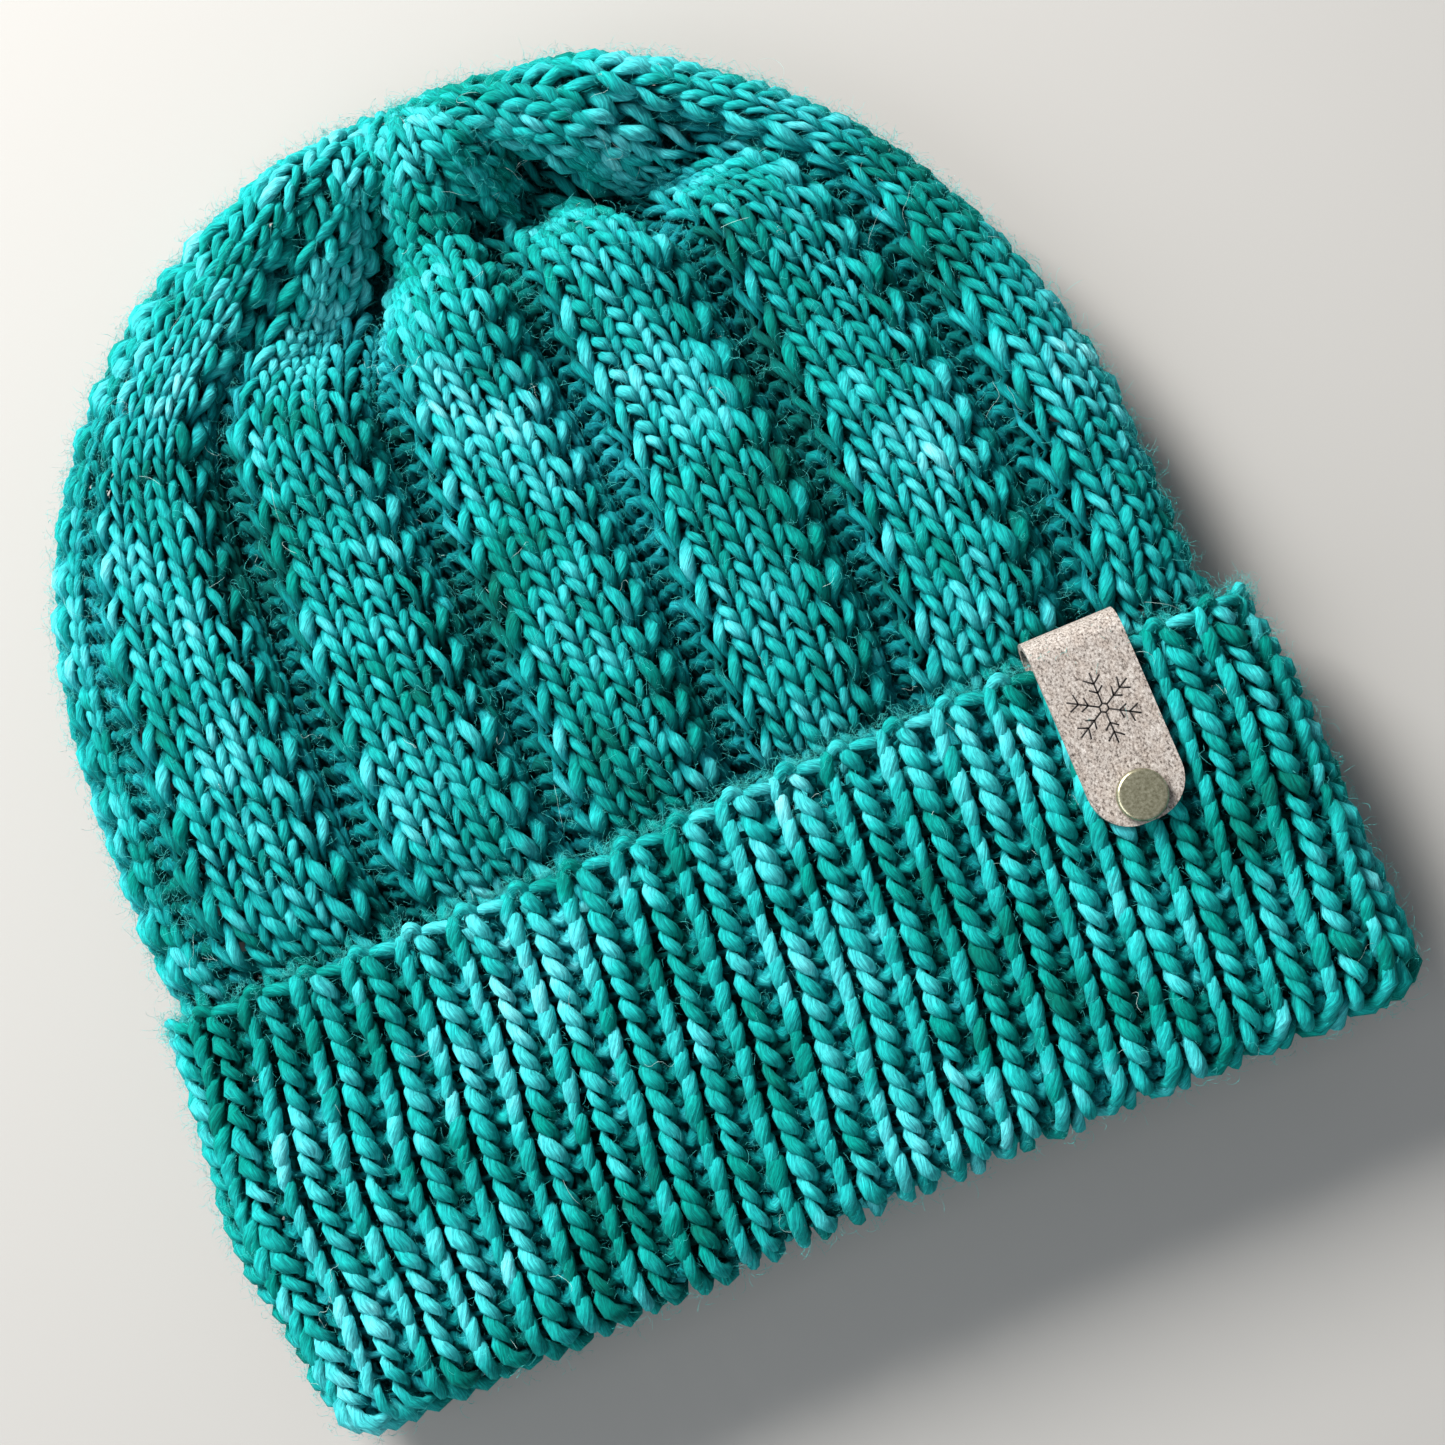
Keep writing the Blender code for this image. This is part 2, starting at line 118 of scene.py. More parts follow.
# Kinds of loose hair: name, shortest, longest and radius in mm, rings, colour.
HAIRS = (
    ("short", 1.2, 3.4, 0.024, 4, (0.008, 0.34, 0.33)),
    ("soft", 2.4, 5.4, 0.024, 5, (0.060, 0.56, 0.54)),
    ("halo", 1.5, 4.4, 0.026, 4, (0.035, 0.47, 0.45)),
    ("stray", 5.0, 11.0, 0.030, 10, (0.45, 0.68, 0.65)),
)
# Halo hairs root beyond this share of the outline. Batches of hair are (kind, number).
OUTLINE_SHARE = 0.975
CUFF_HAIRS = (("halo", 8000),) + 2 * (("short", 8000),) + (("soft", 6600), ("stray", 120))
BODY_HAIRS = (2 * (("halo", 8000),) + 3 * (("short", 8000),) + 3 * (("soft", 6600),)
              + (("stray", 250),))

# Lines of the two yarn ends: the first inside the hat, the second between cuff and brim.
CLOSING_TAIL = [
    (x * MM + BODY_X, y * MM + string_low[1], z * MM)
    for x, y, z in (
        (0, -4, 11), (2, -11, 9.4), (5, -20, 8.3), (3.5, -30, 7.9), (7, -41, 7.9), (5, -52, 7.9),
    )
]
CAST_ON_TAIL = [
    (x * MM, CUFF_TOP_Y - below * MM, 27.2 * MM)
    for x, below in ((-78, 8), (-76, 18), (-71, 28), (-72.5, 40), (-68, 52))
]


# ---------------- helpers

def smooth_step(value, start, end):
    """0 before start, 1 after end, with a smooth ramp between."""
    t = np.clip((value - start) / (end - start), 0.0, 1.0)
    return t * t * (3 - 2 * t)


def bump(value, centre, width):
    """Bell curve of height 1."""
    return np.exp(-((value - centre) / width) ** 2)


def unit(vectors):
    """Vectors scaled to length 1."""
    return vectors / np.maximum(np.linalg.norm(vectors, axis=-1, keepdims=True), 1e-12)


def flat_ring(u, half_width, low, high):
    """(x, z) round a flattened tube. u runs from the left side over the front and back."""
    radius = np.maximum((high - low) / 2, 1e-6)
    middle = (high + low) / 2
    straight = np.maximum(half_width - radius, 0.0)
    quarter = math.pi / 2 * radius
    side = 2 * straight
    s = (u % 1.0) * (4 * quarter + 2 * side)
    left_up = math.pi - s / radius
    right = math.pi / 2 - (s - quarter - side) / radius
    left_down = -math.pi / 2 - (s - 3 * quarter - 2 * side) / radius
    where = [s < quarter, s < quarter + side, s < 3 * quarter + side, s < 3 * quarter + 2 * side]
    x = np.select(
        where,
        [-straight + radius * np.cos(left_up), s - quarter - straight,
         straight + radius * np.cos(right), straight - (s - 3 * quarter - side)],
        -straight + radius * np.cos(left_down),
    )
    z = np.select(
        where,
        [radius * np.sin(left_up), radius + 0 * s, radius * np.sin(right), -radius + 0 * s],
        radius * np.sin(left_down),
    )
    return x, middle + z


def table_normals(points, reach_u, reach_v):
    """Outward normals of a surface table, from differences over a few cells each way."""
    across = np.roll(points, -reach_u, axis=1) - np.roll(points, reach_u, axis=1)
    rows = np.arange(points.shape[0])
    ahead = points[np.minimum(rows + reach_v, rows[-1])]
    behind = points[np.maximum(rows - reach_v, 0)]
    return unit(np.cross(across, ahead - behind))


def openness(points, normals, reach, darkest, depth):
    """Light that reaches each place: 1 on ridges and level fabric, darkest at the given depth."""
    rows = len(points)
    offsets = (-reach, -reach // 2, 0, reach // 2, reach)
    total = 0
    for down in offsets:
        shifted = points[np.clip(np.arange(rows) + down, 0, rows - 1)]
        for aside in offsets:
            total = total + np.roll(shifted, aside, axis=1)
    height = np.sum((points - total / len(offsets) ** 2) * normals, axis=-1)
    return (darkest + (1 - darkest) * smooth_step(height, -depth, 0.2 * MM))[..., None]


def fabric(points, normals, light, stitches):
    """All that a row of knitting needs of the fabric it lies in. Spread is 1 at the usual width."""
    reach = np.linalg.norm(np.roll(points, -1, axis=1) - np.roll(points, 1, axis=1), axis=-1)
    usual = np.median(reach[len(points) // 4:len(points) // 2])
    return {"points": points, "normals": normals, "light": light, "stitches": stitches,
            "spread": (reach / usual)[..., None]}


def sample(table, u, v):
    """Values of a table between its cells. u wraps round, v runs from 0 to 1."""
    count_v, count_u = table.shape[:2]
    x = (u % 1.0) * count_u
    left = np.floor(x).astype(int)
    fx = (x - left)[:, None]
    left %= count_u
    right = (left + 1) % count_u
    y = np.clip(v, 0.0, 1.0) * (count_v - 1)
    low = np.minimum(np.floor(y).astype(int), count_v - 2)
    fy = (y - low)[:, None]
    bottom = table[low, left] * (1 - fx) + table[low, right] * fx
    top = table[low + 1, left] * (1 - fx) + table[low + 1, right] * fx
    return bottom * (1 - fy) + top * fy


def smooth_noise(seed, count, cells):
    """Smooth random values between -1 and 1, one for each of count places."""
    rng = np.random.default_rng(seed)
    knots = rng.uniform(-1, 1, cells + 3)
    x = np.linspace(0, cells, count)
    i = np.minimum(x.astype(int), cells - 1)
    t = x - i
    t = t * t * (3 - 2 * t)
    return knots[i] * (1 - t) + knots[i + 1] * t


def spline(points, count):
    """Catmull-Rom curve through points, as count rows."""
    points = np.asarray(points, float)
    knots = np.vstack([2 * points[0] - points[1], points, 2 * points[-1] - points[-2]])
    spans = len(points) - 1
    x = np.linspace(0, spans, count)
    i = np.minimum(x.astype(int), spans - 1)
    t = (x - i)[:, None]
    a, b, c, d = knots[i], knots[i + 1], knots[i + 2], knots[i + 3]
    return 0.5 * (2 * b + (c - a) * t + (2 * a - 5 * b + 4 * c - d) * t ** 2
                  + (3 * b - a - 3 * c + d) * t ** 3)


# ---------------- surfaces

def cuff_surface():
    """Middle of the ribbed fabric: down the outside of the cuff, round the fold, up inside."""
    count_u, count_v = 528, 260
    outer = (CUFF_HALF - RIB_SKIN, cuff_low[2] + RIB_SKIN, cuff_high[2] - RIB_SKIN)
    inner = (BRIM_HALF - INNER_SKIN, brim_low[2] + INNER_SKIN, brim_high[2] - INNER_SKIN)
    fold_radius = 4.2 * MM
    fold_y = BRIM_Y + 2.6 * MM + fold_radius
    down = CUFF_TOP_Y - 1.5 * MM - fold_y
    around = math.pi * fold_radius
    up = brim_high[1] + 2 * MM - fold_y
    total = down + around + up
    w = np.linspace(0, total, count_v)
    turn = np.clip((w - down) / fold_radius, 0, math.pi)
    share = (1 - np.cos(turn)) / 2
    y = np.where(w < down, fold_y + down - w, fold_y - fold_radius * np.sin(turn))
    y = np.where(w > down + around, fold_y + w - down - around, y)
    u = np.arange(count_u) / count_u
    half, low, high = (a + (b - a) * share for a, b in zip(outer, inner))
    # The ribs lean a little: the fabric is turned round the tube as it goes down.
    lean = -0.015 * smooth_step(w, -20 * MM, down + 20 * MM) + 0.001 * np.sin(w / total * TAU)
    x, z = flat_ring(0.5 - u[None, :] + lean[:, None], half[:, None], low[:, None], high[:, None])
    y = y[:, None] + 0 * x
    # The left side is drawn in towards the fold and at the top edge, the right side at the top.
    drop = np.clip((CUFF_TOP_Y - y) / (CUFF_TOP_Y - BRIM_Y), 0, 1)
    left = np.clip(-x / CUFF_HALF, 0, 1)
    right = np.clip(x / CUFF_HALF, 0, 1)
    x += left ** 2 * (5.5 * MM * smooth_step(drop, 0.45, 1.0) + 1.0 * MM * drop)
    x += left ** 3 * 4.0 * MM * (1 - smooth_step(drop, 0.0, 0.5))
    x -= right ** 3 * 2.6 * MM * (1 - smooth_step(drop, 0.0, 0.3))
    # The front waves a little and sinks under the rivet, and both edges run in soft waves.
    front = smooth_step(z, (cuff_low[2] + cuff_high[2]) / 2, cuff_high[2] - RIB_SKIN)
    wave = 1.1 * MM * np.sin(x / (31 * MM) + 0.6) * (0.4 + 0.6 * drop)
    z += front * (wave * 0.5 - 0.9 * MM * bump(x, RIVET_X, 13 * MM) * bump(drop, 0.25, 0.35))
    y += 0.8 * MM * np.sin(x / (23 * MM)) * (1 - drop) + 0.9 * MM * np.sin(x / (37 * MM) + 1) * drop
    points = np.stack([x, y, z], axis=-1)
    normals = table_normals(points, 3, 3)
    # Painted light: the cuff's light table is raised by 1.22, which lightens its painted colour and
    # thickens its yarn a little.
    light = 1.22 * openness(points, normals, 12, CHANNEL_LIGHT, CHANNEL_DEPTH)
    return fabric(points, normals, light, RIB_STITCHES)


def outline_share(y, apex):
    """Half width of the hat's outline as a share: straight sides, then a full-shouldered ellipse."""
    shoulder_y = CUFF_TOP_Y + 35 * MM
    power = 2.15
    share = np.clip((y - shoulder_y) / (apex - shoulder_y), 0, 1)
    return np.maximum(1 - share ** power, 0) ** (1 / power)


def middle_share(y, apex):
    """The same for columns in the middle of the front: straight up, then straight to the tip."""
    turn_y = CUFF_TOP_Y + 106 * MM
    ease = 9 * MM
    from_turn = y - turn_y
    bent = 0.5 * (from_turn + np.sqrt(from_turn ** 2 + ease ** 2))
    end = apex - turn_y
    return np.clip(1 - bent / (0.5 * (end + np.sqrt(end ** 2 + ease ** 2))), 0, 1)


def crown_dents(x, y, front):
    """How far the front of the crown sinks between its folds."""
    fold_y = 88 * MM - 8 * MM * ((x - 5 * MM) / (45 * MM)) ** 2
    band = bump(y, fold_y, 9 * MM) * smooth_step(x, -52 * MM, -30 * MM)
    band *= 1 - smooth_step(x, 42 * MM, 62 * MM)
    bridge = 1 - 0.65 * bump(x, -3.5 * MM, 9 * MM)
    dent = 11.5 * MM * band * bridge
    for dent_x, dent_y, width, height, depth in (
        (-18, 91, 6, 12, 9.5), (13, 90, 6, 11, 10.5), (-34, 73, 10, 8, 3.5), (36, 84, 14, 8, 4.0),
        (-11, 105, 4, 8, 5.0),
    ):
        dent += depth * MM * bump(x, dent_x * MM, width * MM) * bump(y, dent_y * MM, height * MM)
    rolls = 0
    for roll_x, roll_y, width in ((-40, 58, 12), (-4, 71, 12), (25, 69, 12), (48, 66, 12)):
        rolls += 3.6 * MM * bump(x, roll_x * MM, width * MM) * bump(y, roll_y * MM, 10 * MM)
    ridge = 2.6 * MM * bump(y, 106 * MM, 7 * MM)
    return front * (dent - rolls - ridge)


def spread_rows(points, count_v):
    """The surface in count_v rows, spread by each column's length: side stitches are longer."""
    fine, count_u = points.shape[:2]
    steps = np.linalg.norm(np.diff(points, axis=0), axis=-1)
    lengths = np.vstack([np.zeros(count_u), np.cumsum(steps, axis=0)])
    v = np.linspace(0, 1, count_v)
    mean = lengths.mean(axis=1)
    level = np.interp(v * mean[-1], mean, np.arange(fine))
    result = np.empty((count_v, count_u, 3))
    for column in range(count_u):
        own = np.interp(v * lengths[-1, column], lengths[:, column], np.arange(fine))
        place = 0.15 * level + 0.85 * own
        below = np.minimum(place.astype(int), fine - 2)
        part = (place - below)[:, None]
        result[:, column] = points[below, column] * (1 - part) + points[below + 1, column] * part
    return result


def body_surface():
    """Middle of the body and crown fabric, from inside the cuff up to the crown's tip."""
    count_u, count_v, fine = 720, 420, 900
    start_y = body_low[1]
    apex = CROWN_TOP_Y - 1.6 * MM
    t = np.linspace(0, 1, fine)
    y = start_y + (apex - start_y) * np.sin(math.pi / 2 * t)
    opened = smooth_step(y, CUFF_TOP_Y - 4 * MM, CUFF_TOP_Y + 16 * MM)
    dropped = smooth_step(y, CUFF_TOP_Y - 1 * MM, CUFF_TOP_Y + 22 * MM)
    tapered = smooth_step(y, CUFF_TOP_Y + 35 * MM, crown_low[1])
    high = brim_high[2] + (body_high[2] - brim_high[2]) * opened
    high = high + (crown_high[2] - body_high[2]) * tapered - INNER_SKIN
    low = brim_low[2] + (body_low[2] - brim_low[2]) * dropped + INNER_SKIN
    inner_half = BRIM_HALF - INNER_SKIN
    widened = smooth_step(y, CUFF_TOP_Y, CUFF_TOP_Y + 20 * MM)
    side_skin = 3.4 * MM
    outline = (BODY_HALF - side_skin) * outline_share(y, apex)
    half = inner_half + (outline - inner_half) * widened
    radius = (high - low) / 2
    from_top = apex - y
    rounded = np.sqrt(np.maximum(radius ** 2 - (radius - from_top) ** 2, 1e-12))
    nose = np.where(from_top < radius, rounded, radius)
    middle = (high + low) / 2
    low, high = middle - nose, middle + nose
    half = np.maximum(half, nose)
    u = np.arange(count_u) / count_u
    x, z = flat_ring(u[None, :], half[:, None], low[:, None], high[:, None])
    across = np.abs(x) / half[:, None]
    straighter = (middle_share(y, apex) / np.maximum(outline_share(y, apex), 1e-3))[:, None]
    x = x * (straighter + (1 - straighter) * across ** 2.5)
    crown_lean = 1.6 * MM
    centre = BODY_X * smooth_step(y, CUFF_TOP_Y - 4 * MM, CUFF_TOP_Y + 10 * MM) - crown_lean * tapered
    x = x + centre[:, None]
    y = y[:, None] + 0 * x
    front = smooth_step((z - middle[:, None]) / np.maximum(radius[:, None], 1e-6), 0.1, 0.9)
    z = z - crown_dents(x, y, front)
    result = spread_rows(np.stack([x, y, z], axis=-1), count_v)
    v = np.linspace(0, 1, count_v)
    normals = table_normals(result, 6, 5)
    # The sides are stretched flatter than the front and the back.
    widest = np.abs(result[..., 0] - BODY_X).max(axis=1, keepdims=True)
    side = smooth_step(np.abs(result[..., 0] - BODY_X) / widest, 0.86, 0.98)
    relief = panel_relief(u[None, :], v[:, None]) * (1 - 0.7 * side)
    result = result + normals * relief[..., None]
    normals = table_normals(result, 4, 4)
    # The light table paints shade into the wool's colour in the channels and deep folds, and thins the yarn
    # there.
    light = openness(result, normals, 16, CHANNEL_LIGHT, CHANNEL_DEPTH)
    light = light * openness(result, normals, 40, FOLD_LIGHT, FOLD_DEPTH)
    # Painted light: towards the crown the light table is raised by up to 35 per cent, lightening its
    # painted colour and thickening its yarn a little.
    crown_painted_light_gain = 0.35
    light = light * (1 + crown_painted_light_gain * smooth_step(v, 0.6, 0.8))[:, None, None]
    return fabric(result, normals, light, REPEATS * len(PANEL))


def repeat_place(u):
    """Which part of the stitch repeat lies at u: 0.5 is the middle of a raised panel."""
    return (u - PANEL_U + 0.006 * np.sin(TAU * (u - PANEL_U))) * REPEATS + 0.5


def repeat_to_u(place):
    """Close to the inverse of repeat_place: where a place in the repeats lies round the hat."""
    straight = (place - 0.5) / REPEATS
    return PANEL_U + straight - 0.006 * np.sin(TAU * straight)


def panel_relief(u, v):
    """Height of the panels and depth of the purl channels between them."""
    q = repeat_place(u) % 1.0
    from_channel = np.minimum(q, 1 - q)
    channel = np.exp(-(from_channel / 0.125) ** 2)
    crown = smooth_step(v, 0.78, 0.97)
    started = smooth_step(v, 0.0, 0.09)
    puff = 1.6 * MM * np.cos(math.pi * (q - 0.5)) ** 2
    depth = 5.2 * MM * (1 - 0.7 * crown)
    return started * (puff * (1 - crown) - depth * channel)


# ---------------- stitches

# One stitch as points (across, along, out). Across runs from -1 to 1 over the stitch's width,
# along is in rows, out is in steps of the yarn's bend. Each loop comes up through the middle of
# the loop below, and its head lies behind the next one. The left leg slants and the right leg
# stands almost upright, as the twist of this yarn makes them.
KNIT = (
    (-1.0, -0.82, -1.0), (-0.6, -0.98, -1.15), (-0.22, -0.9, -0.6), (-0.08, -0.6, 0.5),
    (-0.32, -0.12, 1.35), (-0.64, 0.3, 1.1), (-0.88, 0.7, -0.1), (-0.72, 1.0, -1.05),
    (-0.1, 1.14, -1.25), (0.44, 1.04, -1.05), (0.74, 0.7, -0.2), (0.7, 0.28, 0.9),
    (0.54, -0.22, 1.15), (0.4, -0.66, 0.45), (0.48, -0.94, -0.6), (0.72, -0.96, -1.1),
)
RIB_KNIT = (
    (-1.0, -0.82, -1.0), (-0.66, -0.98, -1.15), (-0.38, -0.86, -0.85), (-0.26, -0.5, 0.3),
    (-0.44, -0.08, 1.3), (-0.74, 0.24, 1.05), (-0.94, 0.58, -0.2), (-0.72, 0.98, -1.0),
    (-0.1, 1.14, -1.25), (0.46, 1.04, -1.0), (0.76, 0.72, -0.1), (0.78, 0.26, 1.0),
    (0.68, -0.26, 1.25), (0.6, -0.72, 0.75), (0.66, -1.02, -0.4), (0.84, -0.98, -1.1),
)
PURL = tuple((across, along, -out) for across, along, out in KNIT)
SLIP = (
    (-1.0, -0.82, -1.0), (-0.6, -1.0, -1.1), (-0.16, -0.76, -0.9), (-0.16, -0.28, 0.2),
    (-0.36, 0.26, 1.5), (-0.62, 0.78, 1.45), (-0.8, 1.3, 0.1), (-0.62, 1.86, -1.1),
    (0.0, 2.06, -1.3), (0.62, 1.86, -1.1), (0.8, 1.3, 0.1), (0.66, 0.78, 1.45),
    (0.46, 0.26, 1.5), (0.28, -0.28, 0.2), (0.34, -0.8, -0.9), (0.68, -1.0, -1.1),
)
# At the left edge of a panel the outer leg sinks into the channel.
SLIP_EDGE = tuple(
    (across, along, out - 1.1) if across < -0.3 and out > 0 else (across, along, out)
    for across, along, out in SLIP
)
FLOAT = (
    (-1.0, -0.82, -1.0), (-0.66, -0.84, -1.35), (-0.33, -0.8, -1.6), (0.0, -0.75, -1.65),
    (0.33, -0.8, -1.6), (0.66, -0.84, -1.35),
)
# Kinds of stitch: points, size of a step out, shift out in mm, and thickness of the yarn.
KINDS = {
    "knit": (KNIT, 1.15, 0.0, 1.0),
    "purl": (PURL, 1.0, -0.9, 1.04),
    "slip": (SLIP, 1.0, 0.2, 1.18),
    "float": (FLOAT, 1.0, 0.0, 1.0),
    "rib_knit": (RIB_KNIT, 1.35, 1.0, 1.0),
    "rib_purl": (PURL, 1.1, -1.6, 0.96),
    "flank": (KNIT, 1.0, 0.0, 1.02),
    "slip_edge": (SLIP_EDGE, 1.05, 0.2, 1.18),
}
KIND_NAMES = list(KINDS)


def stitch_shapes(samples):
    """Every kind of stitch, as samples rows of (across, along, out in metres, thickness).

    The yarn swells where a leg is free, and is squeezed where loops cross.
    """
    shapes = []
    for corners, step, shift, thickness in KINDS.values():
        closing = (1.0, -0.82, corners[0][2])
        across, along, out = spline(corners + (closing,), samples + 1)[:-1].T
        swelling = 0.76 + 0.34 * np.clip(out / 1.3, -1, 1)
        shapes.append(np.stack([across, along, (out * step + shift) * MM, swelling * thickness], axis=-1))
    return np.array(shapes)


def wobble(u, v, seed, size):
    """Slow waves over the fabric, the same each run."""
    rng = np.random.default_rng(seed)
    total = 0
    for _ in range(5):
        turns = rng.integers(1, 9)
        rises = rng.uniform(0.6, 4.5)
        phase = rng.uniform(0, 1)
        total = total + np.sin(TAU * (turns * u + rises * v + phase)) / 5
    return size * total


def row_path(surface, row, rows, columns, samples, yarn, seed):
    """One row of knitting as a closed yarn: places, outward directions, radii, heights and light."""
    centres, left, right, kinds = columns
    shapes = stitch_shapes(samples)[kinds]
    rng = np.random.default_rng(seed * 1000 + row)
    count = len(centres)
    t = np.arange(samples) / samples
    window = np.sin(math.pi * t) ** 2
    # No two loops are alike: they differ in lean, in length, in place along the column and in height.
    loose = np.clip(rng.normal(0, 1, (count, 4)), -1.8, 1.8)
    across = shapes[:, :, 0] + window * loose[:, :1] * 0.08
    stretch = 1 + loose[:, 1:2] * 0.06
    along = shapes[:, :, 1] * stretch + window * loose[:, 2:3] * 0.11
    out = shapes[:, :, 2] + window * loose[:, 3:4] * 0.3 * MM
    first = shapes[:, 0, 2]
    joined = (first + np.roll(first, 1)) / 2
    # Near its ends a loop is pulled to the height half way to its neighbour's.
    joint = 0.28
    start_pull = np.maximum(1 - t / joint, 0) ** 2
    end_pull = np.maximum(1 - (1 - t) / joint, 0) ** 2
    out = out + start_pull * (joined - first)[:, None] + end_pull * (np.roll(joined, -1) - first)[:, None]
    reach = np.where(across < 0, (centres - left)[:, None], (right - centres)[:, None])
    u = (centres[:, None] + across * reach).ravel()
    v = (row + 0.55 + along.ravel()) / rows
    u = u + wobble(u, v, seed + 1, 0.0013)
    v = v + wobble(u, v, seed + 2, 0.0030)
    out = out.ravel()
    normals = unit(sample(surface["normals"], u, v))
    points = sample(surface["points"], u, v) + normals * out[:, None]
    slubs = 1 + 0.10 * smooth_noise(seed * 77 + row, count * samples, count)
    plump = 1 + 0.13 * np.clip(rng.normal(0, 1, (count, 1)), -1.8, 1.8)
    radii = (shapes[:, :, 3] * plump).ravel() * yarn * slubs
    # Stitches are drawn in where they turn down into a hollow, and squeezed where they crowd.
    light = sample(surface["light"], u, v)[:, 0]
    room = np.clip(sample(surface["spread"], u, v)[:, 0] * surface["stitches"] / count, 0.6, 1.0)
    return points, normals, radii * (0.62 + 0.38 * light) * (0.25 + 0.75 * room), out, light


def yarn_shade(out, radii, light, sides):
    """Painted shade on each corner of a swept yarn: full light on top of the fabric, little between the
    yarns.
    """
    angle = TAU * np.arange(sides) / sides
    height = out[:, None] + radii[:, None] * np.sin(angle)[None, :]
    return light[:, None] * (0.30 + 0.70 * smooth_step(height, -0.6 * MM, 2.8 * MM))


def sweep(points, normals, radii, sides, closed=True):
    """Round yarn along a centre line: corners, four-cornered faces and length along it."""
    if closed:
        ahead = np.roll(points, -1, axis=0) - np.roll(points, 1, axis=0)
    else:
        ahead = np.gradient(points, axis=0)
    tangent = unit(ahead)
    beside = unit(np.cross(tangent, normals))
    outward = np.cross(beside, tangent)
    angle = TAU * np.arange(sides) / sides
    ring = (np.cos(angle)[None, :, None] * beside[:, None, :]
            + np.sin(angle)[None, :, None] * outward[:, None, :])
    count = len(points)
    rough = 1 + np.random.default_rng(count).normal(0, 0.055, (count, sides, 1))
    corners = points[:, None, :] + ring * rough * radii[:, None, None]
    i = np.arange(count if closed else count - 1)[:, None]
    j = np.arange(sides)[None, :]
    i_next = (i + 1) % count
    j_next = (j + 1) % sides
    corner_ids = (i * sides + j, i_next * sides + j, i_next * sides + j_next, i * sides + j_next)
    faces = np.stack(corner_ids, axis=-1)
    length = np.concatenate([[0], np.cumsum(np.linalg.norm(np.diff(points, axis=0), axis=1))])
    return corners.reshape(-1, 3), faces.reshape(-1, 4), length


def corner_uv(start, end, low, high):
    """Places of the four corners of every face, from its ends along and its edges round."""
    low, high, start, end = np.broadcast_arrays(low, high, start[:, None], end[:, None])
    return np.stack([start, low, end, low, end, high, start, high], axis=-1).reshape(-1, 2)


def yarn_uv(length, closing, sides, shift):
    """(length along, share round) of every face corner of a swept yarn."""
    start = length + shift
    end = np.append(start[1:], start[-1] + closing) if closing else start[1:]
    share = np.arange(sides) / sides
    return corner_uv(start[:len(end)], end, share, share + 1 / sides)


def strip_uv(count, sides, strips, first, total):
    """A place of its own on the piece's map for every face of a swept yarn, in level strips."""
    k = np.arange(count)
    edges = np.floor(np.arange(strips + 1) * count / strips).astype(int)
    strip = np.searchsorted(edges, k, side="right") - 1
    size = (edges[1:] - edges[:-1])[strip]
    x = (k - edges[strip]) / size
    base = (first + strip) / total
    step = 0.9 / total / sides
    low = base[:, None] + np.arange(sides)[None, :] * step
    return corner_uv(x, x + 1 / size, low, low + step)


def add_object(name, data):
    """New object in the scene."""
    added = bpy.data.objects.new(name, data)
    bpy.context.scene.collection.objects.link(added)
    return added


def mesh_piece(name, corners, faces, material, maps=None):
    """Object made of faces with equal corner counts, smooth shaded, with the given UV maps."""
    mesh = bpy.data.meshes.new(name)
    mesh.vertices.add(len(corners))
    mesh.vertices.foreach_set("co", np.asarray(corners, np.float32).ravel())
    mesh.loops.add(faces.size)
    mesh.loops.foreach_set("vertex_index", faces.astype(np.int32).ravel())
    mesh.polygons.add(len(faces))
    mesh.polygons.foreach_set("loop_start", np.arange(0, faces.size, faces.shape[1], dtype=np.int32))
    mesh.polygons.foreach_set("use_smooth", np.ones(len(faces), bool))
    mesh.update(calc_edges=True)
    for map_name, values in (maps or {}).items():
        layer = mesh.uv_layers.new(name=map_name)
        layer.data.foreach_set("uv", np.asarray(values, np.float32).ravel())
    mesh.materials.append(material)
    return add_object(name, mesh)


def yarn_piece(name, paths, sides, material):
    """One object from several closed yarns, each as (points, normals, radii, heights, light)."""
    all_corners, all_faces, yarn_map, bake_map, shades = [], [], [], [], []
    offset = 0
    strips = 6
    for index, (points, normals, radii, out, light) in enumerate(paths):
        corners, faces, length = sweep(points, normals, radii, sides)
        closing = np.linalg.norm(points[0] - points[-1])
        all_corners.append(np.maximum(corners, (-1, -1, FLOOR_LIFT)))
        all_faces.append(faces + offset)
        offset += len(corners)
        shades.append(yarn_shade(out, radii, light, sides).ravel())
        yarn_map.append(yarn_uv(length, closing, sides, index * 2.37))
        bake_map.append(strip_uv(len(points), sides, strips, index * strips, len(paths) * strips))
    maps = {"OFBake": np.concatenate(bake_map), "yarn": np.concatenate(yarn_map)}
    piece = mesh_piece(name, np.concatenate(all_corners), np.concatenate(all_faces), material, maps)
    add_shade(piece, np.concatenate(shades))
    return piece


def add_shade(piece, values):
    """Store the light on each corner, which the wool's colour is multiplied by."""
    layer = piece.data.attributes.new("shade", "FLOAT", "POINT")
    layer.data.foreach_set("value", np.asarray(values, np.float32))


def knit_bands(surface, bands, rows, columns_of, yarn, seed, wool):
    """One object for each band of rows: name, first row, end row, samples a stitch and sides."""
    pieces = []
    for name, first, last, samples, sides in bands:
        paths = [row_path(surface, row, rows, columns_of(row), samples, yarn, seed)
                 for row in range(first, last)]
        pieces.append(yarn_piece(name, paths, sides, wool))
    return pieces


# ---------------- ribbing

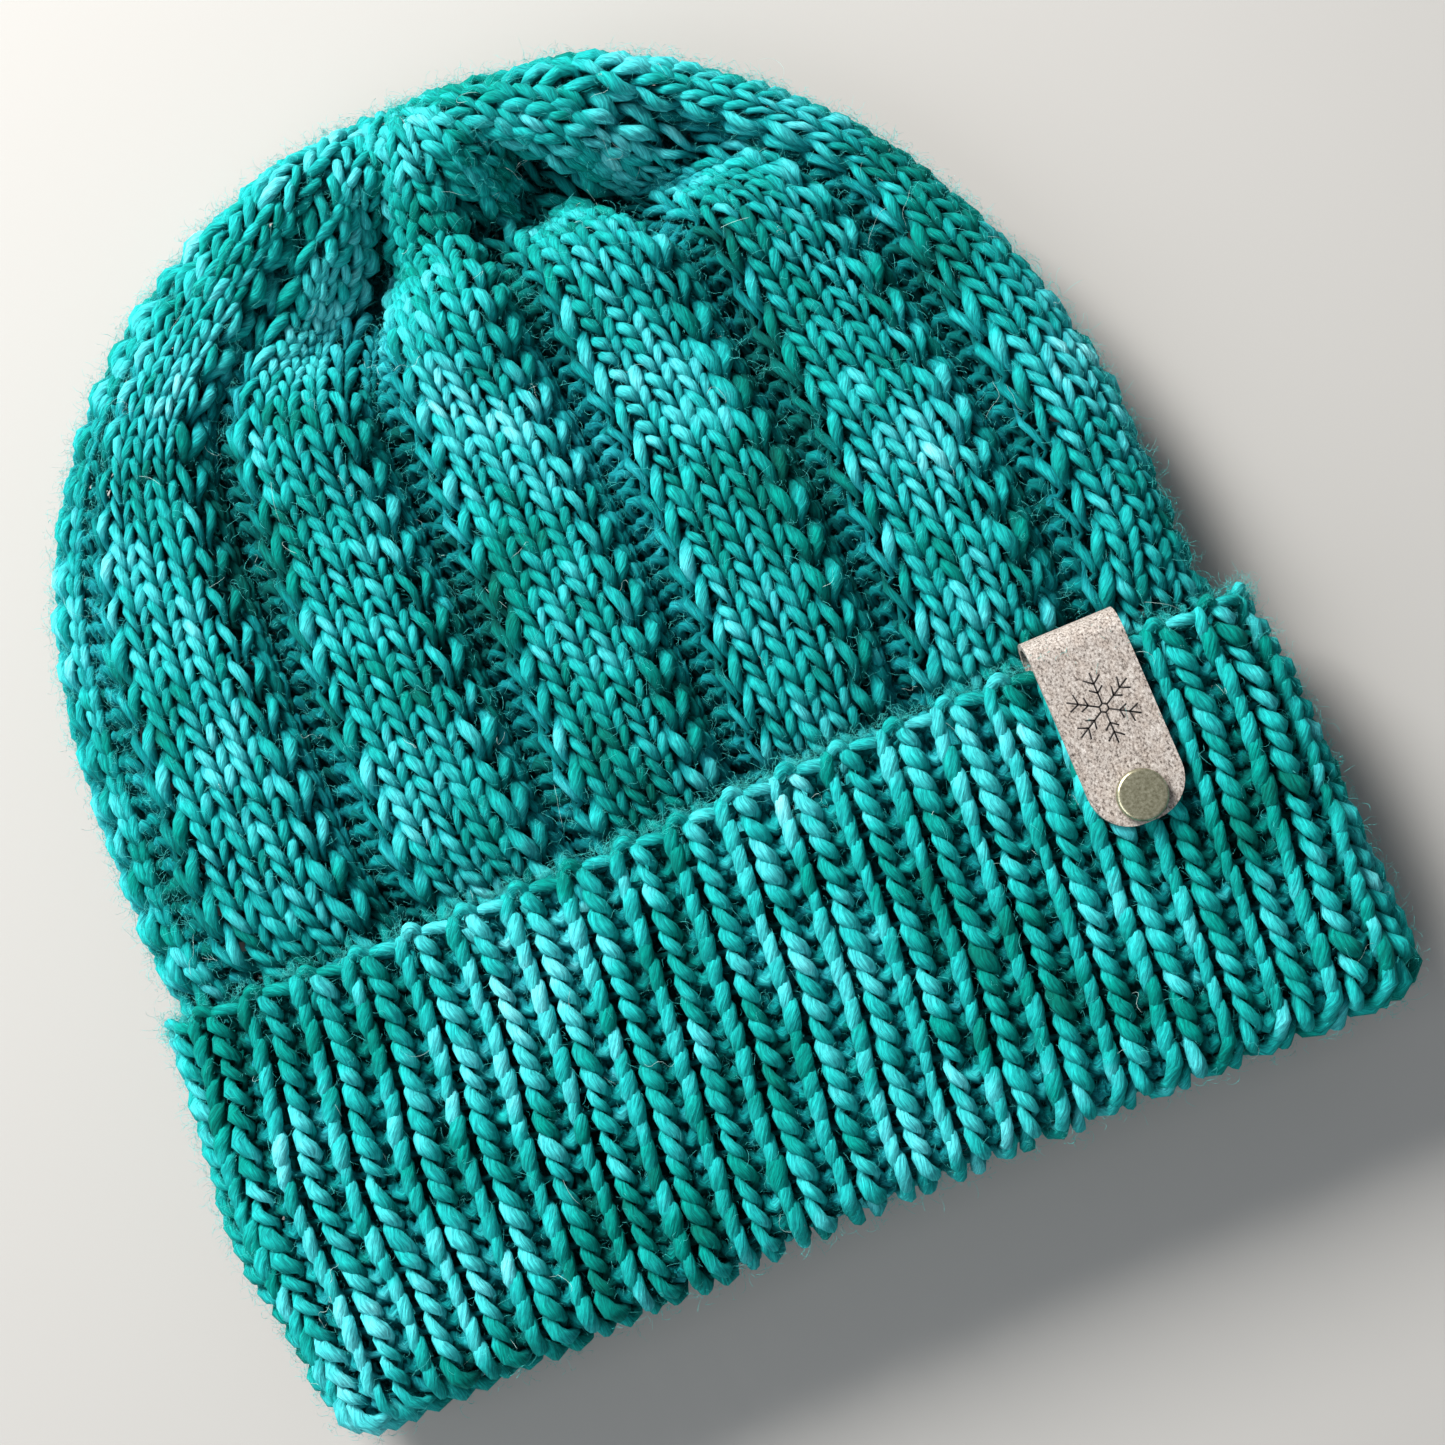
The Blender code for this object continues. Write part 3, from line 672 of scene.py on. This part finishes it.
def rib_columns():
    """Knit and purl columns of the ribbing, as (centres, left edges, right edges, kinds)."""
    pitch = 2 / RIB_STITCHES
    knit_share = 0.35
    index = np.arange(RIB_STITCHES)
    is_knit = index % 2 == 0
    centres = (index // 2 + np.where(is_knit, 0.5, 1.0)) * pitch
    half = np.where(is_knit, knit_share, 0.5 - knit_share) * pitch
    kinds = np.where(is_knit, KIND_NAMES.index("rib_knit"), KIND_NAMES.index("rib_purl"))
    return centres, centres - half, centres + half, kinds


def build_ribbing(surface, wool):
    """The cuff and the brim behind it: one ribbed fabric, row by row."""
    columns = rib_columns()
    bands = (("cuff_ribbing_upper", 0, 7, 16, 8), ("cuff_ribbing_middle", 7, 14, 16, 8),
             ("cuff_ribbing_lower", 14, 21, 16, 8), ("brim_ribbing", 21, RIB_ROWS, 10, 6))
    return knit_bands(surface, bands, RIB_ROWS, lambda row: columns, RIB_YARN, 3, wool)


# ---------------- body and crown

def stage_places(groups, stage):
    """Place of each original column in the repeat, and the width of each group."""
    purl_width = 0.46 if stage == 0 else 0.6 if stage < 4 else 0.9
    widths = []
    for group in groups:
        is_purl = all(PANEL[column] in ("purl", "flank") for column in group)
        widths.append(purl_width if is_purl else 1.0)
    widths = np.array(widths) / sum(widths)
    middles = np.cumsum(widths) - widths / 2
    panel = [m for m, group in zip(middles, groups) if any(column <= 4 for column in group)]
    middles = middles - (panel[0] + panel[-1]) / 2 + 0.5
    places = np.zeros(len(PANEL))
    for middle, group in zip(middles, groups):
        for column in group:
            places[column] = middle
    return places, widths


def body_columns(row):
    """Columns of one row of the body or crown, as (centres, left edges, right edges, kinds)."""
    stage = max(i for i, (first, _) in enumerate(STAGES[:-1]) if row >= first)
    groups = STAGES[stage][1]
    places, widths = stage_places(groups, stage)
    next_first, next_groups = STAGES[stage + 1]
    later, _ = stage_places(next_groups, stage + 1)
    nearness = float(smooth_step(row, next_first - 4, next_first))
    places = places + (later - places) * nearness * 0.85
    centres, kinds = [], []
    for repeat in range(REPEATS):
        for group in groups:
            centres.append(repeat + np.mean([places[column] for column in group]))
            kinds.append(KIND_NAMES.index(column_kind(group, row)))
    centres = np.array(centres)
    widths = np.tile(widths, REPEATS)
    after = np.roll(centres, -1)
    after[-1] += REPEATS
    width_after = np.roll(widths, -1)
    right = (centres * width_after + after * widths) / (widths + width_after)
    left = np.roll(right, 1)
    left[0] -= REPEATS
    return repeat_to_u(centres), repeat_to_u(left), repeat_to_u(right), np.array(kinds)


def column_kind(group, row):
    """Kind of stitch that a group of columns makes in one row."""
    kinds = [PANEL[column] for column in group]
    if "slip" in kinds and len(group) == 1 and row < SLIP_ROWS_END:
        if row % 2:
            return "float"
        return "slip_edge" if group[0] == 0 else "slip"
    if kinds == ["flank"]:
        return "flank"
    return "purl" if all(kind in ("purl", "flank") for kind in kinds) else "knit"


def build_body(surface, wool):
    """The patterned body and the crown, row by row up to the tip."""
    band_rows, crown_row = 7, 35
    bands = [(f"body_knit_{first // band_rows + 1}", first, first + band_rows, 16, 8)
             for first in range(0, crown_row, band_rows)]
    bands.append(("crown_knit", crown_row, BODY_ROWS, 16, 8))
    return knit_bands(surface, bands, BODY_ROWS, body_columns, BODY_YARN, 5, wool)


# ---------------- materials

def new_material(name):
    """Empty node material with its Principled shader."""
    material = bpy.data.materials.new(name)
    material.use_nodes = True
    return material, material.node_tree, material.node_tree.nodes["Principled BSDF"]


def set_inputs(node, values):
    """Set the uniform values of a node's sockets, by their names."""
    for name, value in values.items():
        node.inputs[name].default_value = value


def feed(tree, sockets, values):
    """Give each input socket a number or the output of another node."""
    for socket, value in zip(sockets, values):
        if isinstance(value, (int, float)):
            socket.default_value = value
        else:
            tree.links.new(value, socket)


def maths(tree, operation, first, second=0.0):
    """A Math node on sockets or numbers, returning its output."""
    node = tree.nodes.new("ShaderNodeMath")
    node.operation = operation
    feed(tree, node.inputs, (first, second))
    return node.outputs[0]


def noise(tree, vector, scale, detail=2.0, roughness=0.5):
    """A noise texture's value on the given coordinates."""
    node = tree.nodes.new("ShaderNodeTexNoise")
    set_inputs(node, {"Scale": scale, "Detail": detail, "Roughness": roughness})
    tree.links.new(vector, node.inputs["Vector"])
    return node.outputs["Fac"]


def ramp(tree, value, stops):
    """A colour ramp through (position, colour) stops."""
    node = tree.nodes.new("ShaderNodeValToRGB")
    elements = node.color_ramp.elements
    while len(elements) < len(stops):
        elements.new(0.5)
    for element, (position, colour) in zip(elements, stops):
        element.position = position
        element.color = (*colour, 1.0)
    tree.links.new(value, node.inputs[0])
    return node.outputs["Color"]


def tinted(tree, first, second):
    """Product of two colours."""
    node = tree.nodes.new("ShaderNodeMix")
    node.data_type = "RGBA"
    node.blend_type = "MULTIPLY"
    feed(tree, (node.inputs[0], node.inputs[6], node.inputs[7]), (1.0, first, second))
    return node.outputs[2]


def combine(tree, x, y, z):
    """A vector from three sockets or numbers."""
    node = tree.nodes.new("ShaderNodeCombineXYZ")
    feed(tree, node.inputs, (x, y, z))
    return node.outputs[0]


def add_bump(tree, shader, height, strength, distance):
    """Fine relief on a shader from a height."""
    relief = tree.nodes.new("ShaderNodeBump")
    set_inputs(relief, {"Strength": strength, "Distance": distance})
    tree.links.new(height, relief.inputs["Height"])
    tree.links.new(relief.outputs[0], shader.inputs["Normal"])


def wool_material():
    """Hand-dyed teal yarn: tones along the strand, fine twisted fibres, painted shade between the yarns and
    painted highlight on their tops.
    """
    material, tree, shader = new_material("teal_wool")
    place = tree.nodes.new("ShaderNodeUVMap")
    place.uv_map = "yarn"
    split = tree.nodes.new("ShaderNodeSeparateXYZ")
    tree.links.new(place.outputs[0], split.inputs[0])
    along, around = split.outputs[0], split.outputs[1]
    world = tree.nodes.new("ShaderNodeTexCoord").outputs["Object"]

    phase = maths(tree, "ADD", maths(tree, "MULTIPLY", around, PLIES),
                  maths(tree, "DIVIDE", along, PLY_STEP))
    turned = maths(tree, "MULTIPLY", phase, TAU / PLIES)
    fibre_changes = 130.0
    helix = combine(tree, maths(tree, "COSINE", turned), maths(tree, "SINE", turned),
                    maths(tree, "MULTIPLY", along, fibre_changes))
    strands = noise(tree, helix, 2.2)
    fibres = noise(tree, helix, 7.0, 3.0, 0.65)

    # The dye changes along the yarn, and in patches that cover several rows.
    dye_changes = 24.0
    patch_changes = 34.0
    dye_share = 0.62
    dye_place = combine(tree, maths(tree, "MULTIPLY", along, dye_changes), 0.0, 0.0)
    dye = maths(tree, "MULTIPLY", noise(tree, dye_place, 1.0, 4.0, 0.62), dye_share)
    patches = maths(tree, "MULTIPLY", noise(tree, world, patch_changes), 1 - dye_share)
    tone = maths(tree, "ADD", dye, patches)
    colour = ramp(tree, tone, (
        (0.36, (0.000, 0.072, 0.056)), (0.44, (0.000, 0.145, 0.126)), (0.51, (0.003, 0.248, 0.252)),
        (0.58, (0.020, 0.365, 0.402)), (0.69, (0.075, 0.530, 0.568)),
    ))
    for streaks, low, high in ((strands, (0.55, 0.62, 0.64), (1.28, 1.20, 1.18)),
                               (fibres, (0.55, 0.62, 0.64), (1.35, 1.28, 1.26))):
        streaky = ramp(tree, streaks, ((0.34, low), (0.66, high)))
        colour = tinted(tree, colour, streaky)
    # Painted shade and highlight: the 'shade' attribute darkens the colour deep between the yarns and in
    # hollows, and lifts and pales it on the yarns' tops.
    shade = tree.nodes.new("ShaderNodeAttribute")
    shade.attribute_name = "shade"
    depth = ramp(tree, shade.outputs["Fac"], (
        (0.0, (0.04, 0.25, 0.28)), (0.4, (0.24, 0.52, 0.55)), (0.75, (0.75, 0.83, 0.85)),
        (1.0, (3.60, 1.52, 1.49)),
    ))
    tree.links.new(tinted(tree, colour, depth), shader.inputs["Base Color"])

    height = maths(tree, "ADD", strands, maths(tree, "MULTIPLY", fibres, 0.6))
    add_bump(tree, shader, height, 0.6, 0.5 * MM)
    set_inputs(shader, {"Roughness": 0.85, "Specular IOR Level": 0.06, "Sheen Weight": 0.06,
                        "Sheen Roughness": 0.5, "Sheen Tint": (0.10, 0.85, 0.82, 1.0)})
    return material


def cork_material():
    """Cork fabric: pale tan granules with dark and light flecks stretched along the strip."""
    material, tree, shader = new_material("cork")
    place = tree.nodes.new("ShaderNodeMapping")
    set_inputs(place, {"Scale": (2700, 1900, 2700)})
    tree.links.new(tree.nodes.new("ShaderNodeTexCoord").outputs["Object"], place.inputs["Vector"])
    grain = noise(tree, place.outputs[0], 1.0, 3.0, 0.65)
    coarse = noise(tree, place.outputs[0], 0.16)
    colour = ramp(tree, grain, (
        (0.30, (0.030, 0.022, 0.018)), (0.40, (0.160, 0.135, 0.118)), (0.49, (0.310, 0.275, 0.248)),
        (0.60, (0.400, 0.362, 0.330)), (0.72, (0.600, 0.562, 0.525)),
    ))
    patches = ramp(tree, coarse, ((0.35, (0.90, 0.86, 0.83)), (0.60, (1.0, 1.0, 1.0))))
    tree.links.new(tinted(tree, colour, patches), shader.inputs["Base Color"])
    add_bump(tree, shader, grain, 0.35, 0.2 * MM)
    set_inputs(shader, {"Roughness": 0.72, "Specular IOR Level": 0.35})
    return material


def brass_material():
    """Antique brass: dull olive metal with a fine mottled finish."""
    material, tree, shader = new_material("antique_brass")
    place = tree.nodes.new("ShaderNodeTexCoord").outputs["Object"]
    mottle = noise(tree, place, 1700.0, 4.0, 0.7)
    colour = ramp(tree, mottle, ((0.35, (0.270, 0.250, 0.155)), (0.65, (0.560, 0.530, 0.370))))
    tree.links.new(colour, shader.inputs["Base Color"])
    add_bump(tree, shader, mottle, 0.25, 0.05 * MM)
    set_inputs(shader, {"Metallic": 0.9, "Roughness": 0.34})
    return material


def plain_material(name, colour, roughness):
    """Material of one colour for something too fine, or too plain, to show a pattern."""
    material, _, shader = new_material(name)
    set_inputs(shader, {"Base Color": (*colour, 1.0), "Roughness": roughness})
    return material


# ---------------- edge, tails and fuzz

def build_cast_on(surface, wool):
    """Two strands twisted along the top of the cuff: one hooks over each rib, one links them."""
    ribs = RIB_STITCHES // 2
    samples = 26
    count = ribs * samples
    u = np.arange(count) / count
    phase = TAU * (u * ribs - 0.5)
    level = 0.4 * MM * smooth_noise(41, count, 30)
    paths = []
    for hook, seed in ((1, 51), (-1, 52)):
        front = hook * np.cos(phase + 0.35 * smooth_noise(seed, count, 88))
        across = u - 0.0014 * np.sin(phase)
        base = sample(surface["points"], across, 0 * u)
        normals = unit(sample(surface["normals"], across, 0 * u))
        out = (1.3 + 1.35 * front) * MM
        points = base + normals * out[:, None]
        rise = 1.5 * front if hook > 0 else 0.55 * np.sin(phase + math.pi) + 0.35 * front
        points[:, 1] += level + rise * MM - (0.1 if hook > 0 else 0.7) * MM
        radii = (0.92 + 0.26 * front) * MM * (1 + 0.12 * smooth_noise(seed + 20, count, 130))
        paths.append((points, normals, radii, out, np.ones(count)))
    return yarn_piece("cast_on_strands", paths, 8, wool)


def open_yarn(name, points, radius, wool):
    """Yarn end: a swept strand that narrows to a blunt tuft at both ends."""
    count = 12 * len(points)
    sides = 10
    line = spline(points, count)
    t = np.linspace(0, 1, count)
    radii = radius * np.clip(np.minimum(t, 1 - t) * 40, 0.02, 1) ** 0.5
    normals = np.tile((0.0, 0.0, 1.0), (count, 1))
    corners, faces, length = sweep(line, normals, radii, sides, closed=False)
    maps = {"OFBake": strip_uv(count - 1, sides, 4, 0, 4), "yarn": yarn_uv(length, 0, sides, 0.0)}
    piece = mesh_piece(name, corners, faces, wool, maps)
    # Even painted shade: the whole yarn end's colour is darkened to the share 0.6.
    add_shade(piece, np.full(len(corners), 0.6))
    return piece


def build_drawstring(wool):
    """Yarn drawn twice round inside the tip, which closes the crown."""
    count = 160
    t = np.arange(count) / count
    centre = (string_low[0] + string_high[0]) / 2, (string_low[1] + string_high[1]) / 2
    height = (string_low[2] + string_high[2]) / 2
    angle = TAU * 2 * t
    reach = 3.1 * MM + 0.35 * MM * np.sin(TAU * t)
    points = np.stack([centre[0] + reach * np.cos(angle),
                       centre[1] + 0.7 * MM * np.sin(TAU * t + 1), height + reach * np.sin(angle)], axis=-1)
    normals = np.tile((0.0, 1.0, 0.0), (count, 1))
    level = np.ones(count)
    return yarn_piece("drawstring_yarn", [(points, normals, level * MM, level * MM, level)], 8, wool)


def fuzz_mesh(name, roots, outward, lengths, radius, rings, seed, material):
    """Fine curled hairs, each a closed three-sided spindle, as one object."""
    rng = np.random.default_rng(seed)
    count, sides = len(roots), 3
    first = unit(np.cross(outward, rng.normal(0, 1, (count, 3))))
    second = np.cross(outward, first)
    t = np.linspace(0, 1, rings + 2)[None, :]
    # A hair winds and waves about the way out of the yarn, and leans over as it grows.
    winding = rng.normal(0, 1, (count, 1)) * 2.4
    wave = rng.normal(0, 1, (count, 1)) * 0.9
    angle = winding * t + wave * np.sin(TAU * 1.5 * t + rng.uniform(0, TAU, (count, 1)))
    rise = rng.uniform(0.15, 1.0, (count, 1)) * np.cos(rng.uniform(0.5, 3.4, (count, 1)) * t)
    level = np.sqrt(1 - rise ** 2)
    step = lengths[:, None] / (rings + 1)
    lines = roots[:, None] + 0 * t[..., None]
    for way, share in ((first, level * np.cos(angle)), (second, level * np.sin(angle)), (outward, rise)):
        lines = lines + way[:, None] * np.cumsum(step * share, axis=1)[..., None]
    lines[..., 2] = np.maximum(lines[..., 2], FLOOR_LIFT)
    corner = TAU * np.arange(sides) / sides
    ring = np.cos(corner)[:, None] * second[:, None] + np.sin(corner)[:, None] * outward[:, None]
    middle = lines[:, 1:-1, None, :] + ring[:, None, :, :] * radius
    per_hair = rings * sides + 2
    corners = np.concatenate([lines[:, :1], middle.reshape(count, -1, 3), lines[:, -1:]], axis=1)
    triangles = []
    for k in range(sides):
        k_next = (k + 1) % sides
        triangles.append((0, 1 + k_next, 1 + k))
        last = 1 + (rings - 1) * sides
        triangles.append((last + k, last + k_next, per_hair - 1))
        for r in range(rings - 1):
            a = 1 + r * sides
            b = a + sides
            triangles.append((a + k, a + k_next, b + k_next))
            triangles.append((a + k, b + k_next, b + k))
    faces = (np.arange(count) * per_hair)[:, None, None] + np.array(triangles)[None]
    return mesh_piece(name, corners.reshape(-1, 3), faces.reshape(-1, 3), material)


def on_outline(places):
    """Which places lie on the outline of the hat, seen from above."""
    middle = (places.min(axis=0) + places.max(axis=0)) / 2
    aside, up = places[:, 0] - middle[0], places[:, 1] - middle[1]
    sectors = 720
    sector = ((np.arctan2(up, aside) / TAU + 0.5) * (sectors - 1)).astype(int)
    reach = np.hypot(aside, up)
    widest = np.zeros(sectors)
    np.maximum.at(widest, sector, reach)
    return reach > OUTLINE_SHARE * widest[sector]


def read_corners(sources, width):
    """Values of every corner of several meshes, as one table with the given number of columns."""
    parts = []
    for source, name in sources:
        values = np.empty(len(source) * width, np.float32)
        source.foreach_get(name, values)
        parts.append(values.reshape(-1, width))
    return np.concatenate(parts)


def build_fuzz(pieces, prefix, batches, seed):
    """Loose wool hairs that stand out of the given yarn pieces, in batches of one kind."""
    rng = np.random.default_rng(seed)
    meshes = [piece.data for piece in pieces]
    places = read_corners([(mesh.vertices, "co") for mesh in meshes], 3).astype(float)
    outward = read_corners([(mesh.vertex_normals, "vector") for mesh in meshes], 3).astype(float)
    shades = read_corners([(mesh.attributes["shade"].data, "value") for mesh in meshes], 1)[:, 0]
    # Hairs root where the yarn faces up or sideways, off the floor and out of the dark.
    shown = (outward[:, 2] > -0.3) & (places[:, 2] > 3 * MM) & (shades > 0.3)
    outline = np.nonzero(shown & on_outline(places))[0]
    shown = np.nonzero(shown)[0]
    materials = {name: plain_material(f"{prefix}_hair_{name}", colour, 0.8)
                 for name, *_, colour in HAIRS}
    kinds = {name: values for name, *values in HAIRS}
    made = []
    for batch, (kind, number) in enumerate(batches):
        shortest, longest, radius, rings, _ = kinds[kind]
        picked = rng.choice(outline if kind == "halo" else shown, number)
        lengths = rng.uniform(shortest, longest, number) * MM
        made.append(fuzz_mesh(f"{prefix}_fuzz_{batch}_{kind}", places[picked], outward[picked], lengths,
                              radius * MM, rings, seed + batch, materials[kind]))
    return made


# ---------------- tag and rivet

def level_way(angle):
    """Level direction at an angle from +X."""
    return Vector((math.cos(angle), math.sin(angle), 0))


def build_tag_motif():
    """Plain six-armed star of thin dark lines, burnt into the front of the tag."""
    centre = Vector(((tag_low[0] + tag_high[0]) / 2, CUFF_TOP_Y - 12.0 * MM, tag_high[2]))
    arm = 7.0 * MM
    heart = 0.9 * MM
    half_line = 0.16 * MM
    strokes = []
    for index in range(6):
        angle = TAU * index / 6 + TAU / 12
        along = level_way(angle)
        strokes.append((centre + along * heart, centre + along * arm))
        for reach, branch in ((0.42, 1.7 * MM), (0.68, 2.1 * MM)):
            start = centre + along * arm * reach
            for side in (-1, 1):
                strokes.append((start, start + level_way(angle + side * 0.9) * branch))
        strokes.append((centre + along * heart, centre + level_way(angle + TAU / 6) * heart))
    corners, faces = [], []
    for start, end in strokes:
        way = (end - start).normalized()
        side = Vector((-way.y, way.x, 0)) * half_line
        base = len(corners)
        for height in (-0.1 * MM, 0.03 * MM):
            rise = Vector((0, 0, height))
            corners += [start - side + rise, end - side + rise, end + side + rise, start + side + rise]
        for quad in ((3, 2, 1, 0), (4, 5, 6, 7), (0, 1, 5, 4), (1, 2, 6, 5), (2, 3, 7, 6), (3, 0, 4, 7)):
            faces.append([base + k for k in quad])
    ink = plain_material("burnt_line", (0.012, 0.009, 0.008), 0.85)
    piece = mesh_piece("tag_motif", np.array([tuple(c) for c in corners]), np.array(faces), ink)
    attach(piece, "hat")


def quarter_turn(x, z, radius, start, steps):
    """Points (x, z) of a quarter of a circle, from the given angle on."""
    angles = [start + math.pi / 2 * step / steps for step in range(steps + 1)]
    return [(x + radius * math.cos(angle), z + radius * math.sin(angle)) for angle in angles]


def build_cap(brass):
    """Screw cap with a softly domed face, a rolled rim and its hollow post, turned on a lathe."""
    radius = (cap_high[0] - cap_low[0]) / 2
    top = cap_high[2]
    base = top - 1.8 * MM
    bottom = cap_low[2]
    bore_top = bottom + 7.2 * MM
    bore = 1.45 * MM
    post = 2.0 * MM
    lower_edge = 0.35 * MM
    upper_edge = 0.7 * MM
    dome = 0.05 * MM
    profile = [(0.0, bore_top), (bore, bore_top), (bore, bottom), (post, bottom), (post, base),
               (radius - lower_edge, base)]
    profile += quarter_turn(radius - lower_edge, base + lower_edge, lower_edge, -math.pi / 2, 6)
    profile += quarter_turn(radius - upper_edge, top - upper_edge - dome, upper_edge, 0.0, 8)
    for share in (0.8, 0.6, 0.4, 0.2, 0.0):
        profile.append(((radius - upper_edge) * share, top - dome * share ** 2))
    segments = 96
    step = np.arange(segments)
    after = (step + 1) % segments
    angle = TAU * step / segments
    distance, height = np.array(profile).T[:, :, None]
    corners = np.stack([RIVET_X + distance * np.cos(angle), RIVET_Y + distance * np.sin(angle),
                        height + 0 * angle], axis=-1)
    a = np.arange(len(profile) - 1)[:, None] * segments
    b = a + segments
    faces = np.stack([a + step, a + after, b + after, b + step], axis=-1)
    piece = mesh_piece("rivet_cap_face", corners.reshape(-1, 3), faces.reshape(-1, 4), brass)
    bm = bmesh.new()
    bm.from_mesh(piece.data)
    bmesh.ops.remove_doubles(bm, verts=bm.verts, dist=0.001 * MM)
    bmesh.ops.recalc_face_normals(bm, faces=bm.faces)
    bm.to_mesh(piece.data)
    bm.free()
    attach(piece, "rivet_cap")
    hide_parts("screw_cap")


def dress_node(name, material):
    """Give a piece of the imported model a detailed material."""
    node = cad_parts[name]
    for slot in node.material_slots:
        slot.material = material


# ---------------- stage

def build_stage():
    """Pale floor and soft studio light."""
    bpy.ops.mesh.primitive_plane_add(size=6, location=(0, 0, 0))
    floor = bpy.context.object
    floor.name = "studio_floor"
    floor.data.materials.append(plain_material("studio_floor", (0.36, 0.35, 0.335), 0.9))

    bpy.context.scene.view_settings.view_transform = "Standard"
    world = bpy.data.worlds.new("studio")
    bpy.context.scene.world = world
    world.use_nodes = True
    sky = world.node_tree.nodes["Background"]
    set_inputs(sky, {"Color": (0.86, 0.92, 1.0, 1.0), "Strength": 0.30})

    lights = (
        ("window", (-0.42, 0.95, 0.78), 0.5, 44.0, (1.0, 0.98, 0.95)),
        ("fill", (-0.9, -0.3, 0.9), 1.0, 9.0, (0.93, 0.97, 1.0)),
    )
    for name, place, size, power, colour in lights:
        data = bpy.data.lights.new(name, "AREA")
        data.size = size
        data.energy = power
        data.color = colour
        lamp = add_object(name, data)
        lamp.location = place
        lamp.rotation_euler = (-Vector(place)).to_track_quat("-Z", "Y").to_euler()


def build_camera():
    """Camera above the hat, tilted a little towards the brim and rolled, as the hat was seen."""
    target = Vector((8.8 * MM, -21.2 * MM, 28 * MM))
    field = math.radians(30)
    covered = 271.8 * MM
    roll = math.radians(-22.6)
    tilt = math.radians(5)
    distance = covered / 2 / math.tan(field / 2)
    image_up = Vector((-math.sin(roll), math.cos(roll), 0))
    back = Vector((0, 0, 1)) * math.cos(tilt) - image_up * math.sin(tilt)
    up = image_up * math.cos(tilt) + Vector((0, 0, 1)) * math.sin(tilt)
    right = up.cross(back)
    data = bpy.data.cameras.new("camera")
    data.lens_unit = "FOV"
    data.angle = field
    data.clip_start = 0.01
    camera = add_object("camera", data)
    matrix = camera.matrix_world.to_3x3()
    matrix.col[0], matrix.col[1], matrix.col[2] = right, up, back
    camera.matrix_world = matrix.to_4x4()
    camera.location = target + back * distance
    bpy.context.scene.camera = camera


# ---------------- the hat

def build_hat():
    """All visible pieces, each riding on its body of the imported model."""
    wool = wool_material()
    cuff = cuff_surface()
    body = body_surface()
    ribbing = build_ribbing(cuff, wool)
    knit = build_body(body, wool)
    edge = build_cast_on(cuff, wool)
    string = build_drawstring(wool)
    closing = open_yarn("closing_yarn_end", CLOSING_TAIL, END_YARN, wool)
    casting = open_yarn("cast_on_yarn_end", CAST_ON_TAIL, END_YARN, wool)
    hairs = build_fuzz(ribbing[:3] + [edge], "cuff", CUFF_HAIRS, 61)
    hairs += build_fuzz(knit, "body", BODY_HAIRS, 67)
    for piece in ribbing + knit + hairs + [edge, string, closing, casting]:
        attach(piece, "hat")
    for piece in ribbing:
        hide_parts("turned_cuff" if piece.name.startswith("cuff") else "inner_brim")
    for piece in knit:
        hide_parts("hat_body" if piece.name.startswith("body") else "crown")
    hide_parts("cast_on_edge")
    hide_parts("crown_drawstring")
    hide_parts("closing_tail")
    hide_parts("cast_on_tail")

    brass = brass_material()
    dress_node("cork_tag", cork_material())
    dress_node("slotted_screw", brass)
    build_tag_motif()
    build_cap(brass)


build_stage()
build_camera()
build_hat()
